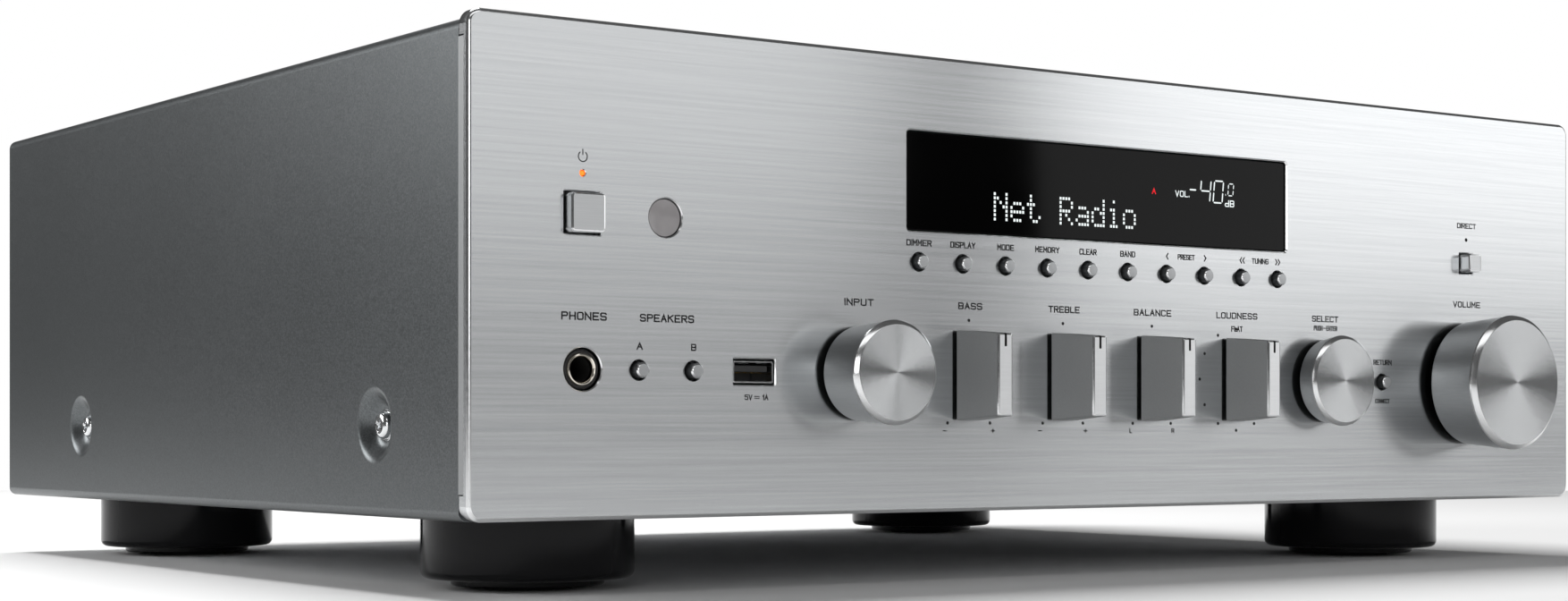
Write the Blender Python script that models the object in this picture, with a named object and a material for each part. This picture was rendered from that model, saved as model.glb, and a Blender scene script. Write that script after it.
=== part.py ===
"""A stereo receiver: a steel cabinet behind a thick aluminium front panel with knobs, buttons and a display.

Axes: +X is to the right as seen from the front, +Y runs from front to back, and +Z is up.
The origin is on the surface that the feet stand on, at the middle of the width and of the overall depth.
"""

import math

import bmesh
import bpy
from mathutils import Matrix, Vector

MM = 0.001

# Overall sizes
WIDTH = 435.0 * MM
PANEL_HEIGHT = 130.2 * MM
PANEL_BASE = 20.8 * MM  # height of the front panel's lower edge above the floor
BODY_DEPTH = 349.0 * MM  # from the face of the front panel to the rear panel
POST_OUT = 21.5 * MM  # how far the speaker posts stand out behind the rear panel
GAP = 0.3 * MM  # between pieces that touch
FIT = 0.5 * MM  # between a button or window and its hole

# Front panel and the frame behind it
CORNER_RADIUS = 4.0 * MM
FACE_CHAMFER = 0.9 * MM
PANEL_DEPTH = 5.5 * MM
PANEL_SKIN = 2.2 * MM  # thickness where the frame sits behind it
PANEL_LIP = 6.7 * MM  # height of the full-depth lips at top and bottom

# Sheet metal
SHEET = 1.2 * MM
COVER_DROP = 1.8 * MM  # the cover's top is this far below the panel's top
COVER_INSET = 0.5 * MM  # the cover's sides are this far inside the panel's ends
COVER_TOP_BEND = 3.0 * MM
COVER_FOOT_BEND = 2.6 * MM
COVER_FLANGE = 8.0 * MM
SIDE_WALL_HEIGHT = 34.0 * MM  # of the bottom chassis
FRONT_WALL_HEIGHT = 14.0 * MM
REAR_SHEET = 1.5 * MM

# Cover screws in their pressed dimples
SCREW_FROM_FACE = 53.4 * MM  # the front pair
SCREW_FROM_REAR = 73.0 * MM  # the rear pair
SCREW_HEIGHT = 24.7 * MM  # above the panel's lower edge
DIMPLE_RADIUS = 10.4 * MM
DIMPLE_FLOOR_RADIUS = 4.6 * MM
DIMPLE_DEPTH = 3.5 * MM
SCREW_HEAD_RADIUS = 3.7 * MM
SCREW_HEAD_HEIGHT = 2.0 * MM
SCREW_RADIUS = 1.7 * MM
SCREW_LENGTH = 9.0 * MM

# Feet
FOOT_X = 168.3 * MM
FOOT_FROM_FACE = 56.0 * MM  # the front pair
FOOT_FROM_REAR = 47.0 * MM  # the rear pair
FOOT_RADIUS = 30.0 * MM
FOOT_LIFT = 3.0 * MM  # height of the foot's lower edge
FOOT_STEP_RADIUS = 21.5 * MM
FOOT_STEP_LIFT = 1.0 * MM
FOOT_PAD_RADIUS = 13.0 * MM

# Rows and columns of controls, as heights above the panel's lower edge and offsets from the middle
CONTROL_ROW = 39.2 * MM
BUTTON_ROW = 71.3 * MM
UPPER_ROW = 79.7 * MM
LAMP_ROW = 90.1 * MM
LEFT_COLUMN = -183.8 * MM
SPEAKER_A_X = -166.6 * MM
SPEAKER_B_X = -149.5 * MM
SENSOR_X = -158.3 * MM
USB_X = -129.6 * MM
INPUT_X = -94.4 * MM
TONE_PITCH = 36.15 * MM
SELECT_X = 94.4 * MM
RETURN_X = 121.7 * MM
RIGHT_COLUMN = 163.6 * MM
BUTTON_PITCH = 16.13 * MM

# Display
DISPLAY_WIDTH = 153.6 * MM
DISPLAY_HEIGHT = 28.6 * MM
DISPLAY_MIDDLE = 94.4 * MM  # height above the panel's lower edge
DISPLAY_CORNER = 1.2 * MM
WINDOW_RECESS = 0.8 * MM
WINDOW_RIM = 2.2 * MM  # the rim that holds the window behind the panel
WINDOW_RIM_DEPTH = 1.5 * MM
TUBE_DEPTH = 6.0 * MM  # the display tube behind the window

# Buttons
BUTTON_RADIUS = 2.1 * MM
BUTTON_HOLE_RADIUS = 2.75 * MM
BUTTON_OUT = 2.4 * MM
BUTTON_TRAVEL = 1.0 * MM
BUTTON_COLLAR_RADIUS = 3.2 * MM
BUTTON_COLLAR_DEPTH = 1.2 * MM
BUTTON_STEM_RADIUS = 1.4 * MM
POWER_SIZE = 10.2 * MM
POWER_OUT = 3.2 * MM
DIRECT_SIZE = 6.0 * MM
DIRECT_OUT = 4.0 * MM
CAP_CHAMFER = 0.5 * MM
LAMP_RADIUS = 0.7 * MM
SENSOR_RADIUS = 5.2 * MM
SENSOR_RECESS = 0.6 * MM

# Round knobs: (lip radius, rear radius, length in front of the panel, gap behind)
INPUT_KNOB = (14.5 * MM, 13.1 * MM, 18.3 * MM, 1.5 * MM)
SELECT_KNOB = (14.5 * MM, 13.3 * MM, 9.0 * MM, 1.5 * MM)
VOLUME_KNOB = (22.3 * MM, 20.5 * MM, 21.5 * MM, 2.2 * MM)
KNOB_BEVEL = 1.3 * MM
KNOB_WALL = 2.4 * MM
SHAFT_RADIUS = 3.0 * MM
SHAFT_HOLE_RADIUS = 4.0 * MM
SHAFT_RUNNING = 0.3 * MM  # radial clearance in the bushing
HUB_RADIUS = 5.5 * MM

# Wedge-shaped tone knobs
TONE_FRONT_WIDTH = 5.4 * MM
TONE_REAR_WIDTH = 10.6 * MM
TONE_FRONT_HEIGHT = 23.6 * MM
TONE_REAR_HEIGHT = 25.8 * MM
TONE_LENGTH = 16.4 * MM
TONE_GAP = 1.0 * MM
TONE_CHAMFER = 0.6 * MM
TONE_BORE_DEPTH = 11.0 * MM

# Front board with its switches and control housings
BOARD_FROM_FACE = 14.0 * MM
BOARD_THICKNESS = 1.6 * MM
BOARD_SIDE_MARGIN = 12.0 * MM
BOARD_EDGE = 9.0 * MM  # from the panel's upper and lower edges
SWITCH_HEIGHT = 3.5 * MM
SWITCH_SIZE = 6.0 * MM
HOUSING_RADIUS = 8.0 * MM

# Sockets on the front
JACK_HOLE_RADIUS = 5.65 * MM
JACK_RADIUS = 5.3 * MM
JACK_RING_RADIUS = 4.35 * MM
JACK_BORE_RADIUS = 3.4 * MM
JACK_DEPTH = 30.0 * MM
JACK_RECESS = 1.0 * MM
USB_OPENING = (14.2 * MM, 7.8 * MM)
USB_SHELL = (13.3 * MM, 6.0 * MM)
USB_WALL = 0.5 * MM
USB_DEPTH = 13.0 * MM
USB_RECESS = 0.7 * MM
USB_TONGUE = (11.0 * MM, 1.8 * MM)

# Rear panel
SPEAKER_PLATE = (150.0 * MM, 58.0 * MM)
SPEAKER_X = -62.0 * MM
SPEAKER_PITCH = (34.0 * MM, 27.0 * MM)
SPEAKER_COLUMNS = 4
POST_RADIUS = 6.0 * MM
POST_COLLAR_RADIUS = 7.6 * MM
POST_COLLAR_HEIGHT = 5.0 * MM
JACKS_X = 98.0 * MM
JACKS_PITCH = (19.0 * MM, 17.0 * MM)
JACKS_COLUMNS = 6
PHONO_RADIUS = 4.2 * MM
PHONO_BORE_RADIUS = 1.6 * MM
PHONO_OUT = 9.0 * MM
SOCKET_ROW = 42.0 * MM  # middle of the terminals, above the panel's lower edge
BLOCK_DEPTH = 12.0 * MM  # how deep the terminal blocks reach into the cabinet
BLOCK_OUT = 2.0 * MM
INLET_X = -188.0 * MM
INLET_SIZE = (28.0 * MM, 18.0 * MM)
INLET_RECESS = (20.0 * MM, 10.0 * MM, 14.0 * MM)
INLET_PIN_RADIUS = 1.2 * MM
INLET_PIN_PITCH = 8.6 * MM
NETWORK_X = 188.0 * MM
NETWORK_SIZE = (16.0 * MM, 14.0 * MM)
NETWORK_OPENING = (12.0 * MM, 8.6 * MM, 12.0 * MM)

# Wireless aerials folded against the rear panel
AERIAL_X = 190.0 * MM
AERIAL_ROW = 113.0 * MM
AERIAL_LENGTH = 118.0 * MM
AERIAL_WIDTH = 13.0 * MM
AERIAL_TIP_WIDTH = 10.0 * MM
AERIAL_THICKNESS = 8.0 * MM
AERIAL_PIVOT_RADIUS = 4.0 * MM
AERIAL_PIVOT_LENGTH = 5.0 * MM

# Inside the cabinet
CORE_SIZE = (94.0 * MM, 62.0 * MM, 78.0 * MM)
COIL_SIZE = (62.0 * MM, 92.0 * MM, 56.0 * MM)
TRANSFORMER_X = -142.0 * MM
TRANSFORMER_FROM_FACE = 120.0 * MM
MAIN_BOARD_WIDTH = 262.0 * MM
MAIN_BOARD_X = 72.0 * MM
MAIN_BOARD_FROM_FACE = 62.0 * MM  # its front edge
MAIN_BOARD_FROM_REAR = 51.0 * MM  # its rear edge
STANDOFF_HEIGHT = 8.0 * MM
STANDOFF_RADIUS = 3.5 * MM
SINK_LENGTH = 150.0 * MM
SINK_DEPTH = 46.0 * MM
SINK_HEIGHT = 78.0 * MM
SINK_FINS = 14
SINK_FIN = 2.2 * MM
SINK_BASE = 6.0 * MM
CAPACITOR_RADIUS = 17.5 * MM
CAPACITOR_HEIGHT = 46.0 * MM
CAPACITOR_SPACING = 42.0 * MM

# Vents in the cover and the chassis
VENT_WIDTH = 4.0 * MM
VENT_LENGTH = 62.0 * MM
VENT_PITCH = 14.0 * MM
VENT_ROW_GAP = 10.0 * MM
VENT_COLUMNS = 8
BOTTOM_VENT_COLUMNS = 6

ROUND = 24  # sides of a knob or foot
SMALL_ROUND = 10  # sides of a button, shaft or jack
COARSE_ROUND = 8  # sides of what is hidden or small

# Planes that follow from the sizes above
OVERALL_DEPTH = VOLUME_KNOB[2] + BODY_DEPTH + POST_OUT
FACE = -OVERALL_DEPTH / 2 + VOLUME_KNOB[2]
REAR = FACE + BODY_DEPTH
SCREW_ROWS = (SCREW_FROM_FACE, BODY_DEPTH - SCREW_FROM_REAR)  # from the face
FOOT_ROWS = (FOOT_FROM_FACE, BODY_DEPTH - FOOT_FROM_REAR)
MAIN_BOARD_DEPTH = BODY_DEPTH - MAIN_BOARD_FROM_FACE - MAIN_BOARD_FROM_REAR
MAIN_BOARD_MIDDLE = FACE + MAIN_BOARD_FROM_FACE + MAIN_BOARD_DEPTH / 2
PANEL_TOP = PANEL_BASE + PANEL_HEIGHT
COVER_SIDE = WIDTH / 2 - COVER_INSET
COVER_TOP = PANEL_TOP - COVER_DROP
COVER_FRONT = FACE + PANEL_DEPTH + GAP
CHASSIS_SIDE = COVER_SIDE - DIMPLE_DEPTH - SHEET - GAP
CHASSIS_FLOOR = PANEL_BASE + SHEET + GAP
CHASSIS_TOP = CHASSIS_FLOOR + SHEET
FRAME_FRONT = FACE + PANEL_SKIN + GAP
FRAME_BACK = FACE + PANEL_DEPTH
BOARD_FRONT = FACE + BOARD_FROM_FACE
COLLAR_FRONT = PANEL_DEPTH + GAP  # of a button, behind the frame
SWITCH_FRONT = BOARD_FROM_FACE - SWITCH_HEIGHT
STEM_END = SWITCH_FRONT - BUTTON_TRAVEL - GAP


# Finishes

def finish(name, colour, roughness, metallic):
    """A plain material."""
    made = bpy.data.materials.new(name)
    made.use_nodes = True
    shader = made.node_tree.nodes["Principled BSDF"]
    shader.inputs["Base Color"].default_value = (*colour, 1.0)
    shader.inputs["Roughness"].default_value = roughness
    shader.inputs["Metallic"].default_value = metallic
    made.diffuse_color = (*colour, 1.0)
    return made


def clear_scene():
    for old in list(bpy.data.objects):
        bpy.data.objects.remove(old)


# Shapes

def add_box(bm, low, high):
    low, high = Vector(low), Vector(high)
    middle = Matrix.Translation((low + high) / 2)
    size = Matrix.Diagonal((*(high - low), 1.0))
    bmesh.ops.create_cube(bm, size=1.0, matrix=middle @ size)


def add_rod(bm, radius, start, end, sides=SMALL_ROUND, end_radius=None):
    """A cylinder, or a cone's stump, from start to end."""
    start, end = Vector(start), Vector(end)
    turn = (end - start).to_track_quat("Z", "Y").to_matrix().to_4x4()
    bmesh.ops.create_cone(
        bm,
        cap_ends=True,
        segments=sides,
        radius1=radius,
        radius2=radius if end_radius is None else end_radius,
        depth=(end - start).length,
        matrix=Matrix.Translation((start + end) / 2) @ turn,
    )


def add_loft(bm, rings):
    """A closed skin over rings of points, each with the same number of points."""
    loops = [[bm.verts.new(point) for point in ring] for ring in rings]
    for near, far in zip(loops, loops[1:]):
        for i in range(len(near)):
            j = (i + 1) % len(near)
            bm.faces.new((near[i], near[j], far[j], far[i]))
    bm.faces.new(loops[0])
    bm.faces.new(loops[-1])


def rounded(width, height, radius, steps=4):
    """A rectangle's outline about the origin, with round corners."""
    points = []
    for k, (sx, sz) in enumerate(((1, 1), (-1, 1), (-1, -1), (1, -1))):
        for i in range(steps + 1):
            angle = math.pi / 2 * (k + i / steps)
            x = sx * (width / 2 - radius) + radius * math.cos(angle)
            z = sz * (height / 2 - radius) + radius * math.sin(angle)
            points.append((x, z))
    return points


def ring(outline, y, x=0.0, z=0.0):
    """An outline standing at a depth y, about the point x, z."""
    return [(x + px, y, z + pz) for px, pz in outline]


def add_slab(bm, outline, start, end, x=0.0, z=0.0):
    add_loft(bm, [ring(outline, start, x, z), ring(outline, end, x, z)])


def add_turned(bm, profile, sides):
    """Spins a profile of (radius, distance along Y) about the Y axis."""
    points = [bm.verts.new((radius, along, 0.0)) for radius, along in profile]
    edges = [bm.edges.new(pair) for pair in zip(points, points[1:])]
    if profile[0][0] > 0:
        edges.append(bm.edges.new((points[-1], points[0])))
    bmesh.ops.spin(
        bm, geom=points + edges, cent=(0, 0, 0), axis=(0, 1, 0), angle=2 * math.pi, steps=sides
    )
    bmesh.ops.remove_doubles(bm, verts=bm.verts, dist=1e-6)


def part(name, bm, material, origin=(0.0, 0.0, 0.0), local=False):
    """Turns a mesh into an object whose origin is at the given point."""
    if not local:
        bmesh.ops.translate(bm, verts=bm.verts, vec=-Vector(origin))
    bmesh.ops.recalc_face_normals(bm, faces=bm.faces)
    mesh = bpy.data.meshes.new(name)
    bm.to_mesh(mesh)
    bm.free()
    mesh.shade_smooth()
    mesh.set_sharp_from_angle(angle=math.radians(35))
    made = bpy.data.objects.new(name, mesh)
    made.location = origin
    bpy.context.scene.collection.objects.link(made)
    if material:
        mesh.materials.append(material)
    return made


def tool(name, bm):
    """A hidden shape that a Boolean uses."""
    made = part(name, bm, None)
    made.hide_render = True
    made.display_type = "WIRE"
    return made


def combine(target, name, bm, operation):
    modifier = target.modifiers.new(name, "BOOLEAN")
    modifier.operation = operation
    modifier.object = tool(f"{target.name}_{name}", bm)


def cut(target, name, bm):
    combine(target, name, bm, "DIFFERENCE")


def join(target, name, bm):
    combine(target, name, bm, "UNION")


# Where the controls are

def button_places():
    """Name, x and height of each round button."""
    names = (
        "dimmer", "display", "mode", "memory", "clear", "band",
        "preset_down", "preset_up", "tuning_down", "tuning_up",
    )
    middle = (len(names) - 1) / 2
    places = [
        (f"{name}_button", (i - middle) * BUTTON_PITCH, PANEL_BASE + BUTTON_ROW)
        for i, name in enumerate(names)
    ]
    row = PANEL_BASE + CONTROL_ROW
    places.append(("speaker_a_button", SPEAKER_A_X, row))
    places.append(("speaker_b_button", SPEAKER_B_X, row))
    places.append(("return_button", RETURN_X, row))
    return places


def square_places():
    """Name, x, size and reach in front of the panel of each square button."""
    return (
        ("power_button", LEFT_COLUMN, POWER_SIZE, POWER_OUT),
        ("direct_button", RIGHT_COLUMN, DIRECT_SIZE, DIRECT_OUT),
    )


def knob_places():
    """Name, x and sizes of each round knob."""
    return (
        ("input", INPUT_X, INPUT_KNOB),
        ("select", SELECT_X, SELECT_KNOB),
        ("volume", RIGHT_COLUMN, VOLUME_KNOB),
    )


def tone_places():
    names = ("bass", "treble", "balance", "loudness")
    middle = (len(names) - 1) / 2
    return [(name, (i - middle) * TONE_PITCH) for i, name in enumerate(names)]


def shaft_columns():
    return [x for _, x, _ in knob_places()] + [x for _, x in tone_places()]


def screw_places():
    """Name, side and depth of each cover screw."""
    for side, hand in ((-1, "left"), (1, "right")):
        for where, from_face in zip(("front", "rear"), SCREW_ROWS):
            yield f"cover_screw_{hand}_{where}", side, FACE + from_face


# Enclosure

def make_front_panel(aluminium):
    middle = PANEL_BASE + PANEL_HEIGHT / 2
    c = FACE_CHAMFER
    outer = rounded(WIDTH, PANEL_HEIGHT, CORNER_RADIUS)
    inner = rounded(WIDTH - 2 * c, PANEL_HEIGHT - 2 * c, CORNER_RADIUS - c)
    bm = bmesh.new()
    add_loft(bm, [
        ring(inner, FACE, z=middle),
        ring(outer, FACE + c, z=middle),
        ring(outer, FACE + PANEL_DEPTH, z=middle),
    ])
    panel = part("front_panel", bm, aluminium)

    pocket = bmesh.new()
    over = WIDTH / 2 + PANEL_DEPTH
    add_box(
        pocket,
        (-over, FACE + PANEL_SKIN, PANEL_BASE + PANEL_LIP),
        (over, FACE + 2 * PANEL_DEPTH, PANEL_TOP - PANEL_LIP),
    )
    cut(panel, "pocket", pocket)

    front, back = FACE - PANEL_SKIN, FACE + 2 * PANEL_SKIN
    row = PANEL_BASE + CONTROL_ROW
    holes = bmesh.new()
    for _, x, z in button_places():
        add_rod(holes, BUTTON_HOLE_RADIUS, (x, front, z), (x, back, z), 12)
    for x in shaft_columns():
        add_rod(holes, SHAFT_HOLE_RADIUS, (x, front, row), (x, back, row))
    for _, x, size, _ in square_places():
        opening = rounded(size + 2 * FIT, size + 2 * FIT, CAP_CHAMFER, 2)
        add_slab(holes, opening, front, back, x, PANEL_BASE + UPPER_ROW)
    add_rod(holes, JACK_HOLE_RADIUS, (LEFT_COLUMN, front, row), (LEFT_COLUMN, back, row), 16)
    upper, lamp = PANEL_BASE + UPPER_ROW, PANEL_BASE + LAMP_ROW
    add_rod(holes, SENSOR_RADIUS, (SENSOR_X, front, upper), (SENSOR_X, back, upper), 16)
    add_rod(holes, LAMP_RADIUS + FIT / 4, (LEFT_COLUMN, front, lamp), (LEFT_COLUMN, back, lamp))
    add_slab(holes, rounded(*USB_OPENING, CAP_CHAMFER, 2), front, back, USB_X, row)
    display = rounded(DISPLAY_WIDTH, DISPLAY_HEIGHT, DISPLAY_CORNER, 3)
    add_slab(holes, display, front, back, 0.0, PANEL_BASE + DISPLAY_MIDDLE)
    cut(panel, "holes", holes)


def make_front_frame(plastic):
    """The plastic frame in the pocket behind the front panel; its ends show at the cabinet's sides."""
    bm = bmesh.new()
    add_box(
        bm,
        (-WIDTH / 2 + GAP, FRAME_FRONT, PANEL_BASE + PANEL_LIP + GAP),
        (WIDTH / 2 - GAP, FRAME_BACK, PANEL_TOP - PANEL_LIP - GAP),
    )
    frame = part("front_frame", bm, plastic)
    front, back = FRAME_FRONT - PANEL_SKIN, FRAME_BACK + PANEL_SKIN
    row, upper = PANEL_BASE + CONTROL_ROW, PANEL_BASE + UPPER_ROW
    lamp = PANEL_BASE + LAMP_ROW
    holes = bmesh.new()
    for _, x, z in button_places():
        add_rod(holes, BUTTON_HOLE_RADIUS, (x, front, z), (x, back, z), COARSE_ROUND)
    for x in shaft_columns():
        add_rod(holes, SHAFT_HOLE_RADIUS, (x, front, row), (x, back, row), COARSE_ROUND)
    for _, x, size, _ in square_places():
        reach = size / 2 + FIT
        add_box(holes, (x - reach, front, upper - reach), (x + reach, back, upper + reach))
    jack = JACK_RADIUS + 2 * FIT
    add_rod(holes, jack, (LEFT_COLUMN, front, row), (LEFT_COLUMN, back, row), 12)
    sensor = SENSOR_RADIUS + 3 * FIT
    add_rod(holes, sensor, (SENSOR_X, front, upper), (SENSOR_X, back, upper), 12)
    add_rod(holes, LAMP_RADIUS + FIT, (LEFT_COLUMN, front, lamp), (LEFT_COLUMN, back, lamp), COARSE_ROUND)
    usb_x, usb_z = USB_SHELL[0] / 2 + FIT, USB_SHELL[1] / 2 + FIT
    add_box(holes, (USB_X - usb_x, front, row - usb_z), (USB_X + usb_x, back, row + usb_z))
    wide = DISPLAY_WIDTH / 2 + WINDOW_RIM + GAP
    high = DISPLAY_HEIGHT / 2 + WINDOW_RIM + GAP
    level = PANEL_BASE + DISPLAY_MIDDLE
    add_box(holes, (-wide, front, level - high), (wide, back, level + high))
    cut(frame, "holes", holes)


def cover_section():
    """The cover's outline seen from the front: a top, two sides and two flanges turned in below."""
    def corners(inset):
        top, foot = COVER_TOP_BEND - inset, COVER_FOOT_BEND - inset
        side, low, high = COVER_SIDE - inset, PANEL_BASE + inset, COVER_TOP - inset
        points = [(-COVER_SIDE + COVER_FLANGE, low)]
        bends = (
            (-side + foot, low + foot, foot, -90), (-side + top, high - top, top, 180),
            (side - top, high - top, top, 90), (side - foot, low + foot, foot, 0),
        )
        for x, z, radius, begin in bends:
            for i in range(4):
                angle = math.radians(begin - 30 * i)
                points.append((x + radius * math.cos(angle), z + radius * math.sin(angle)))
        points.append((COVER_SIDE - COVER_FLANGE, low))
        return points
    return corners(0.0) + corners(SHEET)[::-1]


def add_vents(bm, columns, x, y, low, high):
    """Two rows of slots through a sheet, about the point x, y."""
    for i in range(columns):
        left = x + (i - (columns - 1) / 2) * VENT_PITCH - VENT_WIDTH / 2
        for start in (y - VENT_LENGTH - VENT_ROW_GAP / 2, y + VENT_ROW_GAP / 2):
            add_box(bm, (left, start, low), (left + VENT_WIDTH, start + VENT_LENGTH, high))


def make_top_cover(paint):
    bm = bmesh.new()
    add_slab(bm, cover_section(), COVER_FRONT, REAR)
    cover = part("top_cover", bm, paint)
    z = PANEL_BASE + SCREW_HEIGHT
    cups, dimples, screw_holes = bmesh.new(), bmesh.new(), bmesh.new()
    slope = (DIMPLE_RADIUS - DIMPLE_FLOOR_RADIUS) / DIMPLE_DEPTH
    for _, side, y in screw_places():
        outside, floor = side * COVER_SIDE, side * (COVER_SIDE - DIMPLE_DEPTH)
        add_rod(
            cups, DIMPLE_RADIUS + SHEET, (side * (COVER_SIDE - SHEET / 2), y, z),
            (floor - side * SHEET, y, z), 16, DIMPLE_FLOOR_RADIUS + SHEET,
        )
        add_rod(
            dimples, DIMPLE_RADIUS + SHEET * slope, (outside + side * SHEET, y, z),
            (floor, y, z), 16, DIMPLE_FLOOR_RADIUS,
        )
        start, end = floor + side * SHEET / 2, floor - side * 2 * SHEET
        add_rod(screw_holes, SCREW_RADIUS + GAP, (start, y, z), (end, y, z), COARSE_ROUND)
    join(cover, "cups", cups)
    cut(cover, "dimples", dimples)
    cut(cover, "screw_holes", screw_holes)
    vents = bmesh.new()
    above, below = COVER_TOP + SHEET, COVER_TOP - 2 * SHEET
    middle = MAIN_BOARD_MIDDLE
    add_vents(vents, VENT_COLUMNS, MAIN_BOARD_X, middle, below, above)
    add_vents(vents, VENT_COLUMNS, TRANSFORMER_X, middle, below, above)
    cut(cover, "vents", vents)


def make_bottom_chassis(steel):
    """A pan with upturned front and sides, and pillars for the main board."""
    back = REAR - REAR_SHEET - GAP
    bm = bmesh.new()
    add_box(bm, (-CHASSIS_SIDE, COVER_FRONT, CHASSIS_FLOOR), (CHASSIS_SIDE, back, CHASSIS_TOP))
    chassis = part("bottom_chassis", bm, steel)
    walls = bmesh.new()
    low, high = CHASSIS_FLOOR + SHEET / 2, CHASSIS_FLOOR + SIDE_WALL_HEIGHT
    for side in (-1, 1):
        inner, outer = sorted((side * CHASSIS_SIDE, side * (CHASSIS_SIDE - SHEET)))
        add_box(walls, (inner, COVER_FRONT, low), (outer, back, high))
    join(chassis, "walls", walls)
    front_wall = bmesh.new()
    reach = CHASSIS_SIDE - SHEET / 2
    add_box(
        front_wall, (-reach, COVER_FRONT, low),
        (reach, COVER_FRONT + SHEET, CHASSIS_FLOOR + FRONT_WALL_HEIGHT),
    )
    join(chassis, "front_wall", front_wall)
    pillars = bmesh.new()
    for x, y in pillar_places():
        add_rod(
            pillars, STANDOFF_RADIUS, (x, y, low), (x, y, CHASSIS_TOP + STANDOFF_HEIGHT), COARSE_ROUND
        )
    join(chassis, "pillars", pillars)
    z = PANEL_BASE + SCREW_HEIGHT
    holes = bmesh.new()
    for _, side, y in screw_places():
        far, near = side * COVER_SIDE, side * (CHASSIS_SIDE - 3 * SHEET)
        add_rod(holes, SCREW_RADIUS + GAP, (far, y, z), (near, y, z), COARSE_ROUND)
    add_vents(
        holes, BOTTOM_VENT_COLUMNS, MAIN_BOARD_X, MAIN_BOARD_MIDDLE,
        CHASSIS_FLOOR - SHEET, CHASSIS_TOP + SHEET,
    )
    cut(chassis, "holes", holes)


def pillar_places():
    """The main board's four fixing points, in from its corners."""
    inset = 3 * STANDOFF_RADIUS
    reach_x, reach_y = MAIN_BOARD_WIDTH / 2 - inset, MAIN_BOARD_DEPTH / 2 - inset
    middle = MAIN_BOARD_MIDDLE
    return [
        (MAIN_BOARD_X + sx * reach_x, middle + sy * reach_y) for sx in (-1, 1) for sy in (-1, 1)
    ]


def make_rear_panel(paint):
    width = 2 * (COVER_SIDE - SHEET - GAP)
    low, high = CHASSIS_TOP + GAP, COVER_TOP - SHEET - GAP
    bm = bmesh.new()
    outline = rounded(width, high - low, COVER_TOP_BEND - SHEET)
    add_slab(bm, outline, REAR - REAR_SHEET, REAR, 0.0, (low + high) / 2)
    panel = part("rear_panel", bm, paint)
    row = PANEL_BASE + SOCKET_ROW
    front, back = REAR - 3 * REAR_SHEET, REAR + REAR_SHEET
    holes = bmesh.new()
    blocks = (
        (SPEAKER_X, speaker_body()), (JACKS_X, jacks_body()),
        (INLET_X, INLET_SIZE), (NETWORK_X, NETWORK_SIZE),
    )
    for x, (width, height) in blocks:
        reach_x, reach_z = width / 2 + GAP, height / 2 + GAP
        add_box(holes, (x - reach_x, front, row - reach_z), (x + reach_x, back, row + reach_z))
    cut(panel, "holes", holes)
    pivots = bmesh.new()
    level = PANEL_BASE + AERIAL_ROW
    for x in (-AERIAL_X, AERIAL_X):
        start, end = REAR - REAR_SHEET / 2, REAR + AERIAL_PIVOT_LENGTH
        add_rod(pivots, AERIAL_PIVOT_RADIUS, (x, start, level), (x, end, level))
    join(panel, "pivots", pivots)


def make_feet(plastic):
    """Turned feet with a stepped underside and a soft pad in the middle."""
    top = CHASSIS_FLOOR - GAP
    profile = [
        (0.0, 0.0),
        (FOOT_PAD_RADIUS, 0.0),
        (FOOT_PAD_RADIUS, FOOT_STEP_LIFT),
        (FOOT_STEP_RADIUS, FOOT_STEP_LIFT),
        (FOOT_STEP_RADIUS, FOOT_LIFT),
        (FOOT_RADIUS - FACE_CHAMFER, FOOT_LIFT),
        (FOOT_RADIUS, FOOT_LIFT + FACE_CHAMFER),
        (FOOT_RADIUS, top),
        (0.0, top),
    ]
    for where, from_face in zip(("front", "rear"), FOOT_ROWS):
        for side, hand in ((-1, "left"), (1, "right")):
            bm = bmesh.new()
            add_turned(bm, profile, ROUND)
            bmesh.ops.rotate(bm, verts=bm.verts, matrix=Matrix.Rotation(math.pi / 2, 3, "X"))
            place = (side * FOOT_X, FACE + from_face, 0.0)
            part(f"foot_{where}_{hand}", bm, plastic, place, local=True)


def make_cover_screws(steel):
    for name, side, y in screw_places():
        head = side * (COVER_SIDE - DIMPLE_DEPTH + GAP)
        z = PANEL_BASE + SCREW_HEIGHT
        bm = bmesh.new()
        add_turned(bm, [
            (0.0, -SCREW_HEAD_HEIGHT),
            (SCREW_HEAD_RADIUS * 0.7, -SCREW_HEAD_HEIGHT),
            (SCREW_HEAD_RADIUS, -SCREW_HEAD_HEIGHT * 0.4),
            (SCREW_HEAD_RADIUS, 0.0),
            (SCREW_RADIUS, 0.0),
            (SCREW_RADIUS, SCREW_LENGTH),
            (0.0, SCREW_LENGTH),
        ], SMALL_ROUND)
        turn = Matrix.Rotation(side * math.pi / 2, 3, "Z")
        bmesh.ops.rotate(bm, verts=bm.verts, matrix=turn)
        part(name, bm, steel, (head, y, z), local=True)


# Display and windows

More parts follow.
